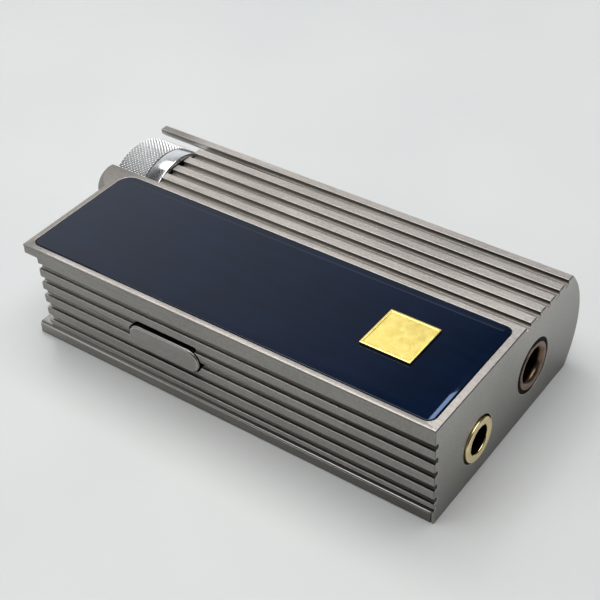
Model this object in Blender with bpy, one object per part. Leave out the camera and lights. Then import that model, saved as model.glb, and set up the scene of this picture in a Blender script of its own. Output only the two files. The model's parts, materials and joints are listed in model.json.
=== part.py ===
"""A pocket DAC and headphone amplifier: a ribbed titanium shell, a glass top panel, a guarded volume
knob, one side button, two headphone sockets, a USB-C socket and the boards inside.

The part rests on its base plate at z = 0. +X points to the headphone sockets, -Y to the side button,
and the origin lies under the middle of the bounding box. All sizes are in metres.
"""

import math

import bmesh
import bpy
from mathutils import Vector

# Overall sizes
LENGTH = 0.0683
WIDTH = 0.03655
HEIGHT = 0.0155
FAR_SET_BACK = 0.00311
EDGE_RADIUS = 0.0002
END_CHAMFER = 0.0001

# Gaps between pieces
SEAM = 0.00015
SEAT = 0.00025
BOARD_GAP = 0.0004

# Shell walls
NEAR_WALL = 0.0022
ROOF = 0.0023
JACK_WALL = 0.0020
NOTCH_WALL = 0.0018
END_WALL = 0.0016
JACK_LIP = 0.0003
BASE_LEDGE = 0.0008
POCKET_RADIUS = 0.0008

# Knob end of the shell: overhanging top plate, recessed end wall, a round near guard and two far rails
GUARD_REACH = 0.00305
END_RECESS = 0.00228
OVERHANG = 0.00145
NOTCH_DEPTH = 0.0085
BOSS_RADIUS = 0.0058
BOSS_TO_KNOB = 0.0061
BOSS_ROLL = 0.0016
BOSS_TIP_ROLL = 0.0003
BAY_FLOOR = 0.0012
BAY_MARGIN = 0.0002
BAY_WALL = 0.0007

# Grooves along the near side and the top
SIDE_GROOVES = 5
SIDE_GROOVE_FIRST = 0.00384
SIDE_GROOVE_PITCH = 0.002215
SIDE_GROOVE_HEIGHT = 0.00095
SIDE_GROOVE_DEPTH = 0.0008
BUTTON_GROOVE = 3
SEAM_GROOVE_HEIGHT = 0.00055
SEAM_GROOVE_DEPTH = 0.00035
TOP_GROOVES = 5
TOP_GROOVE_PITCH = 0.0025
TOP_GROOVE_WIDTH = 0.00115
TOP_GROOVE_DEPTH = 0.00075
TOP_BAND = 0.00087

# Base plate and its screws
BASE_THICKNESS = 0.00185
BASE_CHAMFER = 0.00015
BASE_TOP_CHAMFER = 0.00035
BASE_FAR_MARGIN = 0.0008
PAD_HEIGHT = 0.0003
POST_RADIUS = 0.0016
POST_INSET = 0.0020
SCREW_RADIUS = 0.0006
SCREW_HEAD_RADIUS = 0.00115
SCREW_HEAD_HEIGHT = 0.0008
SCREW_LENGTH = 0.0066
SCREW_GAP = 0.0002
SCREW_SOCKET = 0.0005

# Glass panel and badge
GLASS_WIDTH = 0.01941
GLASS_RIM_NEAR = 0.00088
GLASS_RIM_KNOB = 0.00078
GLASS_RIM_JACK = 0.00108
GLASS_RADIUS = 0.0012
GLASS_KNOB_RADIUS = 0.0020
GLASS_THICKNESS = 0.0007
GLASS_CHAMFER = 0.00015
GLASS_GAP = 0.00015
ADHESIVE_THICKNESS = 0.0001
ADHESIVE_GAP = 0.00005
ADHESIVE_INSET = 0.0010
BADGE_SIDE = 0.0073
BADGE_THICKNESS = 0.0003
BADGE_FROM_JACK = 0.01195
BADGE_FROM_NEAR = 0.0114
BADGE_RADIUS = 0.0001

# Volume knob and attenuator
KNOB_RADIUS = 0.0080
KNOB_GAP = 0.0008
KNOB_TO_FAR = 0.01015
KNOB_RAISE = 0.00045
KNOB_LENGTH = 0.00565
KNOB_END_GAP = 0.00005
KNURLS_ROUND = 72
KNURL_DEPTH = 0.00022
KNURL_BEVEL = 0.0004
DISH_RADIUS = 0.0056
DISH_DEPTH = 0.0004
RING_STEP = 0.00005
RING_WIDTH = 0.0021
RING_CHAMFER = 0.0003
RING_WALL = 0.0006
RING_GAP = 0.00025
SPIGOT_WALL = 0.0011
NUT_GAP = 0.00085
NUT_WALL = 0.0013
BUSHING_WALL = 0.0012
SHAFT_GAP = 0.0003
SHAFT_FLAT = 0.0006
NUT_THICKNESS = 0.0015
WASHER_RADIUS = 0.0050
WASHER_THICKNESS = 0.0003
ATTENUATOR_WIDTH = 0.0092
ATTENUATOR_RISE = 0.0046
ATTENUATOR_LIFT = 0.00005
ATTENUATOR_LENGTH = 0.0078

# Side button and its switch
BUTTON_LENGTH = 0.0118
BUTTON_HEIGHT = 0.0035
BUTTON_PROUD = 0.00025
BUTTON_GAP = 0.00025
BUTTON_CHAMFER = 0.0002
BUTTON_FROM_JACK = 0.0409
BUTTON_Z = 0.00831
BUTTON_TRAVEL = 0.0004
FLANGE_MARGIN = 0.0008
FLANGE_THICKNESS = 0.0006
STEM_RADIUS = 0.0009
STEM_LENGTH = 0.0005
PLUNGER_RADIUS = 0.0008
PLUNGER_LENGTH = 0.0013
PLUNGER_SHOWN = 0.00055
SWITCH_LENGTH = 0.0045
SWITCH_HEIGHT = 0.0032
SWITCH_DEPTH = 0.0015
SWITCH_BOARD_LENGTH = 0.0130

# Main board and sockets
BOARD_THICKNESS = 0.0008
BOARD_LIFT = 0.0005
JACK_35_FROM_NEAR = 0.0100
JACK_35_Z = 0.0059
JACK_35_BORE = 0.0018
JACK_35_BUSH = 0.00318
JACK_35_LENGTH = 0.0121
JACK_35_WIDTH = 0.0060
JACK_44_FROM_KNOB = 0.0026
JACK_44_Z = 0.0074
JACK_44_BORE = 0.00226
JACK_44_BUSH = 0.00305
JACK_44_COLLAR = 0.00376
JACK_44_LENGTH = 0.0166
JACK_44_WIDTH = 0.0078
BUSH_PROUD = 0.0003
BUSH_RECESS = 0.00045
BUSH_GAP = 0.0002
BUSH_CHAMFER = 0.00025
COLLAR_RECESS = 0.00015
USB_WIDTH = 0.00894
USB_HEIGHT = 0.00326
USB_WALL = 0.0003
USB_LENGTH = 0.0072
USB_FROM_NEAR = 0.0079
USB_TONGUE_WIDTH = 0.00669
USB_TONGUE_THICKNESS = 0.0007

# Facets of round shapes
CORNER_STEPS = 3
ARC_STEPS = 6
FAR_ARC_STEPS = 24
ROUND_STEPS = 32
SMALL_ROUND_STEPS = 16

# Places worked out from the sizes above
JACK_X = LENGTH / 2 - BUSH_PROUD
GUARD_X = -LENGTH / 2
PLATE_X = GUARD_X + GUARD_REACH
END_X = PLATE_X + END_RECESS
NOTCH_X = GUARD_X + NOTCH_DEPTH
FAR_Y = (WIDTH + BUTTON_PROUD) / 2
NEAR_Y = FAR_Y - WIDTH
FAR_ARC_RADIUS = ((HEIGHT / 2) ** 2 + FAR_SET_BACK**2) / (2 * FAR_SET_BACK)
FAR_ARC_Y = FAR_Y - FAR_ARC_RADIUS
KNOB_Y = FAR_Y - KNOB_TO_FAR
KNOB_Z = HEIGHT / 2 + KNOB_RAISE
BORE_RADIUS = KNOB_RADIUS + KNOB_GAP
RING_RADIUS = KNOB_RADIUS - RING_STEP
RING_INNER = RING_RADIUS - RING_WALL
SPIGOT_OUTER = RING_INNER - BUSH_GAP
SPIGOT_INNER = SPIGOT_OUTER - SPIGOT_WALL
NUT_FLATS = math.sqrt(3) * (SPIGOT_INNER - NUT_GAP)
BUSHING_RADIUS = NUT_FLATS / 2 - NUT_WALL
SHAFT_RADIUS = BUSHING_RADIUS - BUSHING_WALL
BOSS_X = GUARD_X + BOSS_RADIUS
BOSS_Y = KNOB_Y - BOSS_TO_KNOB
BAY_X = NOTCH_X + BAY_WALL
BAY_Y = BOSS_Y - BOSS_RADIUS - BAY_MARGIN
BASE_FAR_Y = FAR_Y - FAR_SET_BACK - BASE_FAR_MARGIN
SHELL_Z = BASE_THICKNESS + SEAM
ROOF_Z = HEIGHT - ROOF
GROOVE_Z = HEIGHT - TOP_GROOVE_DEPTH
GLASS_Z = HEIGHT - GLASS_THICKNESS
GLASS_FLOOR_Z = GLASS_Z - ADHESIVE_THICKNESS - 2 * ADHESIVE_GAP
GLASS_NEAR_Y = NEAR_Y + GLASS_RIM_NEAR
GLASS_FAR_Y = GLASS_NEAR_Y + GLASS_WIDTH
SLOT_NEAR_Y = GLASS_FAR_Y + TOP_BAND
SLOT_FAR_Y = SLOT_NEAR_Y + (TOP_GROOVES - 1) * TOP_GROOVE_PITCH + TOP_GROOVE_WIDTH
BOARD_Z = BASE_THICKNESS + BOARD_LIFT + BOARD_THICKNESS
PART_Z = BOARD_Z + SEAT
INNER_NEAR_Y = NEAR_Y + NEAR_WALL
INNER_FAR_Y = BASE_FAR_Y - BASE_LEDGE
INNER_JACK_X = JACK_X - JACK_WALL
INNER_NOTCH_X = NOTCH_X + NOTCH_WALL
INNER_END_X = END_X + END_WALL
INNER_STEP_Y = BAY_Y - BASE_LEDGE
BUTTON_X = JACK_X - BUTTON_FROM_JACK
JACK_35_Y = NEAR_Y + JACK_35_FROM_NEAR
JACK_44_Y = KNOB_Y - JACK_44_FROM_KNOB
USB_Y = NEAR_Y + USB_FROM_NEAR
USB_Z = PART_Z + USB_HEIGHT / 2
OUT_X = LENGTH
OUT_Y = WIDTH
OUT_Z = 2 * HEIGHT

AXES = {
    "X": lambda u, v, w: (w, u, v),
    "Y": lambda u, v, w: (u, w, v),
    "Z": lambda u, v, w: (u, v, w),
}


def finish(name, colour, roughness, metallic=0.0):
    """A Principled material with one colour, given as linear red, green and blue."""
    material = bpy.data.materials.new(name)
    material.use_nodes = True
    shader = material.node_tree.nodes["Principled BSDF"]
    shader.inputs["Base Color"].default_value = (*colour, 1.0)
    shader.inputs["Roughness"].default_value = roughness
    shader.inputs["Metallic"].default_value = metallic
    return material


def piece(name, mesh, material, location=(0, 0, 0), parent=None):
    """A named object for one sub-part, made from a bmesh."""
    bmesh.ops.recalc_face_normals(mesh, faces=mesh.faces)
    data = bpy.data.meshes.new(name)
    mesh.to_mesh(data)
    mesh.free()
    obj = bpy.data.objects.new(name, data)
    bpy.context.scene.collection.objects.link(obj)
    obj.location = location
    if material:
        data.materials.append(material)
    if parent:
        obj.parent = parent
        obj.location = Vector(location) - parent.location
    return obj


def boolean(obj, name, mesh, location, operation):
    """Cuts a hidden shape out of a piece, or joins it on."""
    shape = piece(f"{obj.name}.{name}", mesh, None, location)
    shape.hide_render = True
    shape.display_type = "WIRE"
    modifier = obj.modifiers.new(name, "BOOLEAN")
    modifier.operation = operation
    modifier.object = shape
    modifier.solver = "EXACT"


def cut(obj, name, mesh, location=(0, 0, 0)):
    boolean(obj, name, mesh, location, "DIFFERENCE")


def join(obj, name, mesh, location=(0, 0, 0)):
    boolean(obj, name, mesh, location, "UNION")


def arc(centre, radius, start, end, steps):
    """Points on an arc from start to end, in degrees."""
    angles = [math.radians(start + (end - start) * i / steps) for i in range(steps + 1)]
    return [(centre[0] + radius * math.cos(a), centre[1] + radius * math.sin(a)) for a in angles]


def circle(radius, steps=ROUND_STEPS):
    return arc((0, 0), radius, 0, 360, steps)[:-1]


def rounded_box(x0, x1, y0, y1, radii, steps=CORNER_STEPS):
    """A rectangle with four rounded corners: low-low, high-low, high-high, low-high."""
    corners = [(x0, y0, 1, 1), (x1, y0, -1, 1), (x1, y1, -1, -1), (x0, y1, 1, -1)]
    points = []
    for index, (x, y, right, up) in enumerate(corners):
        radius = radii[index]
        start = 180 + 90 * index
        points += arc((x + right * radius, y + up * radius), radius, start, start + 90, steps)
    return points


def centred_box(length, width, radius=EDGE_RADIUS):
    return rounded_box(-length / 2, length / 2, -width / 2, width / 2, [radius] * 4)


def pill(length, height, steps=2 * ARC_STEPS):
    """A slot shape: two half circles joined by straight sides."""
    half = (length - height) / 2
    right = arc((half, 0), height / 2, -90, 90, steps)
    left = arc((-half, 0), height / 2, 90, 270, steps)
    return right + left


def loft(rings):
    """A closed solid through rings of equal point counts, its two ends capped."""
    mesh = bmesh.new()
    rows = [[mesh.verts.new(point) for point in ring] for ring in rings]
    count = len(rows[0])
    for low, high in zip(rows, rows[1:]):
        for i in range(count):
            j = (i + 1) % count
            mesh.faces.new((low[i], low[j], high[j], high[i]))
    mesh.faces.new(rows[0])
    mesh.faces.new(rows[-1])
    return mesh


def sections(outlines, axis):
    """A solid through flat outlines, each given with its place on the axis."""
    return loft([[AXES[axis](u, v, place) for u, v in outline] for outline, place in outlines])


def prism(outline, low, high, axis):
    return sections([(outline, low), (outline, high)], axis)


def chamfered(outline_of, low, high, axis, chamfer):
    """A prism whose high end is drawn in by a chamfer; outline_of(inset) gives the outline."""
    shoulder = high - math.copysign(chamfer, high - low)
    outlines = [(outline_of(0), low), (outline_of(0), shoulder), (outline_of(chamfer), high)]
    return sections(outlines, axis)


def block(x0, x1, y0, y1, z0, z1):
    return prism([(x0, y0), (x1, y0), (x1, y1), (x0, y1)], z0, z1, "Z")


def rod(low, high, radius, axis, steps=ROUND_STEPS):
    return prism(circle(radius, steps), low, high, axis)


def turned(profile, axis, steps=ROUND_STEPS):
    """A solid rod turned to a profile of (place on the axis, radius), from one end to the other."""
    return sections([(circle(radius, steps), place) for place, radius in profile], axis)


def ring(profile, axis, steps=ROUND_STEPS):
    """A ring turned from a closed profile of (place on the axis, radius)."""
    mesh = bmesh.new()
    rows = []
    for place, radius in profile:
        rows.append([mesh.verts.new(AXES[axis](u, v, place)) for u, v in circle(radius, steps)])
    for low, high in zip(rows, rows[1:] + rows[:1]):
        for i in range(steps):
            j = (i + 1) % steps
            mesh.faces.new((low[i], low[j], high[j], high[i]))
    return mesh


def tube(low, high, inner, outer, axis):
    return ring([(low, inner), (high, inner), (high, outer), (low, outer)], axis)


def post_places():
    """Plan places of the four screw posts, two at each end of the pocket."""
    near_y = INNER_NEAR_Y + POST_INSET
    far_y = INNER_FAR_Y - POST_INSET
    jack_x = INNER_JACK_X - POST_INSET
    usb_x = END_X + USB_LENGTH + POST_INSET + BOARD_GAP
    knob_x = INNER_NOTCH_X + ATTENUATOR_LENGTH + POST_INSET + BOARD_GAP
    return [(usb_x, near_y), (jack_x, near_y), (jack_x, far_y), (knob_x, far_y)]


def body_section(inset):
    """The D-shaped cross-section in Y and Z: flat near side, top and bottom, bulging far side."""
    edge = EDGE_RADIUS - inset
    low, high, near = inset, HEIGHT - inset, NEAR_Y + inset
    radius = FAR_ARC_RADIUS - inset
    half = math.degrees(math.asin((HEIGHT / 2 - inset) / radius))
    points = arc((near + edge, low + edge), edge, 180, 270, CORNER_STEPS)
    points += arc((FAR_ARC_Y, HEIGHT / 2), radius, -half, half, FAR_ARC_STEPS)
    points += arc((near + edge, high - edge), edge, 90, 180, CORNER_STEPS)
    return points


def guard_boss():
    """The round near guard: an upright drum whose top edge is rolled over.

    The roll is widest where the drum leaves the top plate and narrows to the drum's tip at -X.
    """
    steps = 2 * ROUND_STEPS
    angles = [math.tau * i / steps for i in range(steps)]

    def roll(angle):
        from_tip = (math.degrees(angle) - 180) / 60
        share = min(max(from_tip, 0), 1)
        return BOSS_TIP_ROLL + (BOSS_ROLL - BOSS_TIP_ROLL) * share

    rings = [[(BOSS_RADIUS * math.cos(a), BOSS_RADIUS * math.sin(a), 0) for a in angles]]
    for level in range(ARC_STEPS + 1):
        turn = math.radians(90 * level / ARC_STEPS)
        points = []
        for a in angles:
            radius = BOSS_RADIUS - roll(a) * (1 - math.cos(turn))
            height = HEIGHT - roll(a) * (1 - math.sin(turn))
            points.append((radius * math.cos(a), radius * math.sin(a), height))
        rings.append(points)
    return loft(rings)


def side_groove_z(index):
    return SIDE_GROOVE_FIRST + index * SIDE_GROOVE_PITCH


def side_groove(z):
    """Section in Y and Z of a groove with a half-round floor, open to the near side."""
    half = SIDE_GROOVE_HEIGHT / 2
    centre = (NEAR_Y + SIDE_GROOVE_DEPTH - half, z)
    return [(-OUT_Y, z - half), *arc(centre, half, -90, 90, ARC_STEPS), (-OUT_Y, z + half)]


def seam_groove():
    """Section in Y and Z of the groove above the base seam: a sloping lower flank under a flat roof."""
    low, floor_y = SHELL_Z + SEAM / 2, NEAR_Y + SEAM_GROOVE_DEPTH
    high = low + SEAM_GROOVE_HEIGHT
    flank = [(NEAR_Y, low), (floor_y, low + SEAM_GROOVE_DEPTH)]
    return [(-OUT_Y, low), *flank, (floor_y, high), (-OUT_Y, high)]


def pocket_outline(margin):
    """Plan of the inside pocket, stepped round the knob bay, drawn in by a margin."""
    near, far = INNER_NEAR_Y + margin, INNER_FAR_Y - margin
    end, notch, jack = INNER_END_X + margin, INNER_NOTCH_X + margin, INNER_JACK_X - margin
    step = INNER_STEP_Y - margin
    corner = POCKET_RADIUS
    points = arc((end + corner, near + corner), corner, 180, 270, CORNER_STEPS)
    points += arc((jack - corner, near + corner), corner, 270, 360, CORNER_STEPS)
    points += arc((jack - corner, far - corner), corner, 0, 90, CORNER_STEPS)
    points += arc((notch + corner, far - corner), corner, 90, 180, CORNER_STEPS)
    return points + [(notch, step), (end, step)]


def glass_outline(inset):
    radii = [r - inset for r in (GLASS_RADIUS, GLASS_RADIUS, GLASS_RADIUS, GLASS_KNOB_RADIUS)]
    low, high = PLATE_X + GLASS_RIM_KNOB + inset, JACK_X - GLASS_RIM_JACK - inset
    return rounded_box(low, high, GLASS_NEAR_Y + inset, GLASS_FAR_Y - inset, radii, ARC_STEPS)


def base_outline(gap, reach):
    """Plan of the base plate, notched round the knob bay.

    The gap is kept to the shell, and the open near side and knob end run out by the reach.
    """
    near, far = NEAR_Y - reach, BASE_FAR_Y - gap
    end, jack = PLATE_X - reach, JACK_X - JACK_LIP - gap
    bay_x, bay_y = BAY_X + gap, BAY_Y - gap
    return [(end, near), (jack, near), (jack, far), (bay_x, far), (bay_x, bay_y), (end, bay_y)]


def make_shell(metal):
    envelope = [
        (body_section(END_CHAMFER), GUARD_X),
        (body_section(0), GUARD_X + END_CHAMFER),
        (body_section(0), JACK_X - END_CHAMFER),
        (body_section(END_CHAMFER), JACK_X),
    ]
    shell = piece("body_shell", sections(envelope, "X"), metal)
    knob_axis = (0, KNOB_Y, KNOB_Z)

    # Knob end: set-back top plate, recessed end wall and the round near guard
    cut(shell, "end", block(-OUT_X, PLATE_X, -OUT_Y, KNOB_Y, -OUT_Z, OUT_Z))
    cut(shell, "recess", block(-OUT_X, END_X, -OUT_Y, BOSS_Y, BASE_THICKNESS, HEIGHT - OVERHANG))
    join(shell, "guard", guard_boss(), (BOSS_X, BOSS_Y, 0))

    # Knob bay: a round bore, a slot through the top, a window through the bottom and one between the rails
    cut(shell, "bore", rod(-OUT_X, NOTCH_X, BORE_RADIUS, "X", 2 * ROUND_STEPS), knob_axis)
    cut(shell, "slot", block(-OUT_X, NOTCH_X, SLOT_NEAR_Y, SLOT_FAR_Y, GROOVE_Z, OUT_Z))
    half = math.sqrt(BORE_RADIUS**2 - (KNOB_Z - BAY_FLOOR) ** 2)
    cut(shell, "window", block(-OUT_X, NOTCH_X, KNOB_Y - half, KNOB_Y + half, -OUT_Z, KNOB_Z))
    cut(shell, "far_window", block(-OUT_X, NOTCH_X, KNOB_Y, OUT_Y, OVERHANG, HEIGHT - OVERHANG))

    # Inside: the pocket open to the base, four screw posts, and the seat of the base plate
    cut(shell, "pocket", prism(pocket_outline(0), -OUT_Z, ROOF_Z, "Z"))
    for index, (x, y) in enumerate(post_places(), 1):
        post = rod(PART_Z, ROOF_Z + ROOF / 4, POST_RADIUS, "Z", SMALL_ROUND_STEPS)
        join(shell, f"post_{index}", post, (x, y, 0))
        thread = rod(0, ROOF_Z, SCREW_RADIUS + SCREW_GAP, "Z", SMALL_ROUND_STEPS)
        cut(shell, f"thread_{index}", thread, (x, y, 0))
    cut(shell, "base", prism(base_outline(0, OUT_Y), -OUT_Z, SHELL_Z, "Z"))

    # Ribs: grooves milled along the near side and the top
    for index in range(SIDE_GROOVES):
        cut(shell, f"side_groove_{index}", prism(side_groove(side_groove_z(index)), -OUT_X, OUT_X, "X"))
    cut(shell, "seam_groove", prism(seam_groove(), -OUT_X, OUT_X, "X"))
    for index in range(TOP_GROOVES):
        y = SLOT_NEAR_Y + index * TOP_GROOVE_PITCH
        groove = block(NOTCH_X - SEAT, OUT_X, y, y + TOP_GROOVE_WIDTH, GROOVE_Z, OUT_Z)
        cut(shell, f"top_groove_{index}", groove)

    # Openings for the glass, button, sockets and volume bushing
    cut(shell, "glass", prism(glass_outline(0), GLASS_FLOOR_Z, OUT_Z, "Z"))
    hole = pill(BUTTON_LENGTH + 2 * BUTTON_GAP, BUTTON_HEIGHT + 2 * BUTTON_GAP)
    cut(shell, "button", prism(hole, -OUT_Y, INNER_NEAR_Y + SEAT, "Y"), (BUTTON_X, 0, BUTTON_Z))
    reach, top = (BUTTON_LENGTH - BUTTON_HEIGHT) / 2, side_groove_z(BUTTON_GROOVE) + SIDE_GROOVE_HEIGHT / 2
    relief = block(BUTTON_X - reach, BUTTON_X + reach, -OUT_Y, INNER_NEAR_Y + SEAT, BUTTON_Z, top)
    cut(shell, "button_relief", relief)
    for name, y, z, radius in (
        ("jack_35", JACK_35_Y, JACK_35_Z, JACK_35_BUSH),
        ("jack_44", JACK_44_Y, JACK_44_Z, JACK_44_COLLAR),
    ):
        cut(shell, name, rod(INNER_JACK_X - SEAT, OUT_X, radius + BUSH_GAP, "X"), (0, y, z))
    hole = pill(USB_WIDTH + 2 * BUSH_GAP, USB_HEIGHT + 2 * BUSH_GAP)
    cut(shell, "usb", prism(hole, -OUT_X, INNER_END_X + SEAT, "X"), (0, USB_Y, USB_Z))
    cut(shell, "bushing", rod(-OUT_X, INNER_NOTCH_X + SEAT, BUSHING_RADIUS + BUSH_GAP, "X"), knob_axis)


def screw_profile(low, grow):
    """A countersunk screw from its head up to its tip, grown by a clearance."""
    return [
        (low, SCREW_HEAD_RADIUS + grow),
        (SCREW_HEAD_HEIGHT / 3, SCREW_HEAD_RADIUS + grow),
        (SCREW_HEAD_HEIGHT, SCREW_RADIUS + grow),
        (SCREW_LENGTH, SCREW_RADIUS + grow),
    ]


def make_base(metal, steel):
    base = piece("base_plate", prism(base_outline(SEAM, 0), 0, BASE_THICKNESS, "Z"), metal)
    edges = ("lower_edge", 0, BASE_CHAMFER), ("upper_edge", BASE_THICKNESS, BASE_TOP_CHAMFER)
    for name, z, edge in edges:
        corner = [(NEAR_Y - edge, z), (NEAR_Y, z - edge), (NEAR_Y + edge, z), (NEAR_Y, z + edge)]
        cut(base, name, prism(corner, -OUT_X, OUT_X, "X"))
    for index, (x, y) in enumerate(post_places(), 1):
        pad = rod(BASE_THICKNESS / 2, BASE_THICKNESS + PAD_HEIGHT, POST_RADIUS, "Z", SMALL_ROUND_STEPS)
        join(base, f"pad_{index}", pad, (x, y, 0))
        hole = turned(screw_profile(-OUT_Z, SCREW_GAP), "Z", SMALL_ROUND_STEPS)
        cut(base, f"hole_{index}", hole, (x, y, 0))
        blank = turned(screw_profile(SEAM, 0), "Z", SMALL_ROUND_STEPS)
        screw = piece(f"base_screw_{index}", blank, steel, (x, y, 0))
        socket = prism(circle(SCREW_SOCKET, 6), -OUT_Z, SCREW_HEAD_HEIGHT * 2 / 3, "Z")
        cut(screw, "socket", socket, (x, y, 0))


def make_glass(glass, adhesive, gilt):
    def panel(inset):
        return glass_outline(GLASS_GAP + inset)

    piece("glass_panel", chamfered(panel, GLASS_Z, HEIGHT, "Z", GLASS_CHAMFER), glass)
    low = GLASS_FLOOR_Z + ADHESIVE_GAP
    film = prism(glass_outline(ADHESIVE_INSET), low, low + ADHESIVE_THICKNESS, "Z")
    piece("glass_adhesive", film, adhesive)

    def plate(inset):
        return centred_box(BADGE_SIDE - 2 * inset, BADGE_SIDE - 2 * inset, BADGE_RADIUS)

    low = HEIGHT + ADHESIVE_GAP
    badge = chamfered(plate, low, low + BADGE_THICKNESS, "Z", ADHESIVE_GAP)
    piece("badge_plate", badge, gilt, (JACK_X - BADGE_FROM_JACK, NEAR_Y + BADGE_FROM_NEAR, 0))


def knurled_grip():
    """The grip about X: a lattice of small pyramids between two bevelled ends.

    Two families of V grooves cross at every other lattice point, which lies at the groove depth. The
    points between them are the pyramids' tips.
    """
    columns = 2 * KNURLS_ROUND
    band = KNOB_LENGTH - 2 * KNURL_BEVEL
    rows = 2 * round(band / (math.tau * KNOB_RADIUS / columns) / 2)
    valley = KNOB_RADIUS - KNURL_DEPTH
    mesh = bmesh.new()

    def circuit(x, radii):
        points = []
        for i, radius in enumerate(radii):
            angle = math.tau * i / columns
            points.append(mesh.verts.new((x, radius * math.cos(angle), radius * math.sin(angle))))
        return points

    end_radii = [valley - KNURL_BEVEL] * columns
    circuits = [circuit(0, end_radii)]
    for j in range(rows + 1):
        inner = 0 < j < rows
        radii = [KNOB_RADIUS if inner and (i + j) % 2 else valley for i in range(columns)]
        circuits.append(circuit(KNURL_BEVEL + band * j / rows, radii))
    circuits.append(circuit(KNOB_LENGTH, end_radii))
    for j, (low, high) in enumerate(zip(circuits, circuits[1:])):
        for i in range(columns):
            k = (i + 1) % columns
            if (i + j) % 2:
                groove = (low[i], low[k], high[k]), (low[i], high[k], high[i])
            else:
                groove = (low[i], low[k], high[i]), (low[k], high[k], high[i])
            for corners in groove:
                mesh.faces.new(corners)
    mesh.faces.new(circuits[0])
    mesh.faces.new(circuits[-1])
    return mesh


def make_knob(chrome, steel, black, turning):
    front_x = GUARD_X + KNOB_END_GAP
    back_x = front_x + KNOB_LENGTH
    ring_x = back_x + RING_GAP
    axis = (0, KNOB_Y, KNOB_Z)
    shaft_x = front_x + KNOB_LENGTH / 3

    knob = piece("volume_knob", knurled_grip(), chrome, (front_x, KNOB_Y, KNOB_Z), turning)
    dish = [(front_x - DISH_DEPTH, DISH_RADIUS + 2 * DISH_DEPTH), (front_x + DISH_DEPTH, DISH_RADIUS)]
    cut(knob, "dish", turned(dish, "X"), axis)
    spigot = rod(back_x - RING_GAP, ring_x + RING_WIDTH / 2, SPIGOT_OUTER, "X")
    join(knob, "spigot", spigot, axis)
    cut(knob, "hollow", rod(back_x - KNOB_LENGTH / 3, OUT_X, SPIGOT_INNER, "X"), axis)
    cut(knob, "shaft", rod(shaft_x - SHAFT_GAP, back_x, SHAFT_RADIUS + SHAFT_GAP, "X"), axis)

    far_x = ring_x + RING_WIDTH
    collar = [
        (ring_x, RING_INNER),
        (far_x, RING_INNER),
        (far_x, RING_RADIUS - RING_CHAMFER),
        (far_x - RING_CHAMFER, RING_RADIUS),
        (ring_x + RING_CHAMFER, RING_RADIUS),
        (ring_x, RING_RADIUS - RING_CHAMFER),
    ]
    piece("knob_ring", ring(collar, "X", 2 * ROUND_STEPS), chrome, axis, turning)

    # Attenuator: a D shaft in a bushing, held to the bay wall by a washer and a hex nut
    body_x = INNER_NOTCH_X + SEAT
    body_end = body_x + ATTENUATOR_LENGTH
    shaft_end = body_end - 4 * SEAT
    shaft = piece("attenuator_shaft", rod(shaft_x, shaft_end, SHAFT_RADIUS, "X"), steel, axis, turning)
    flat_z = SHAFT_RADIUS - SHAFT_FLAT
    cut(shaft, "flat", block(-OUT_X, back_x, -OUT_Y, OUT_Y, flat_z, OUT_Z), axis)
    washer_x = NOTCH_X - SEAM - WASHER_THICKNESS
    nut_x = washer_x - SEAM - NUT_THICKNESS
    half, low_z = ATTENUATOR_WIDTH / 2, PART_Z + ATTENUATOR_LIFT - KNOB_Z
    case = rounded_box(-half, half, low_z, ATTENUATOR_RISE, [EDGE_RADIUS] * 4)
    body = piece("attenuator_body", prism(case, body_x, body_end, "X"), black, axis)
    join(body, "bushing", rod(nut_x - SEAT, body_x + SEAT, BUSHING_RADIUS, "X"), axis)
    cut(body, "bore", rod(-OUT_X, shaft_end + SEAT, SHAFT_RADIUS + SHAFT_GAP, "X"), axis)
    washer = tube(washer_x, washer_x + WASHER_THICKNESS, BUSHING_RADIUS + BUSH_GAP, WASHER_RADIUS, "X")
    piece("attenuator_washer", washer, steel, axis)
    hexagon = circle(NUT_FLATS / math.sqrt(3), 6)
    nut = piece("attenuator_nut", prism(hexagon, nut_x, nut_x + NUT_THICKNESS, "X"), steel, axis)
    cut(nut, "thread", rod(-OUT_X, OUT_X, BUSHING_RADIUS + BUSH_GAP, "X"), axis)


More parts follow.
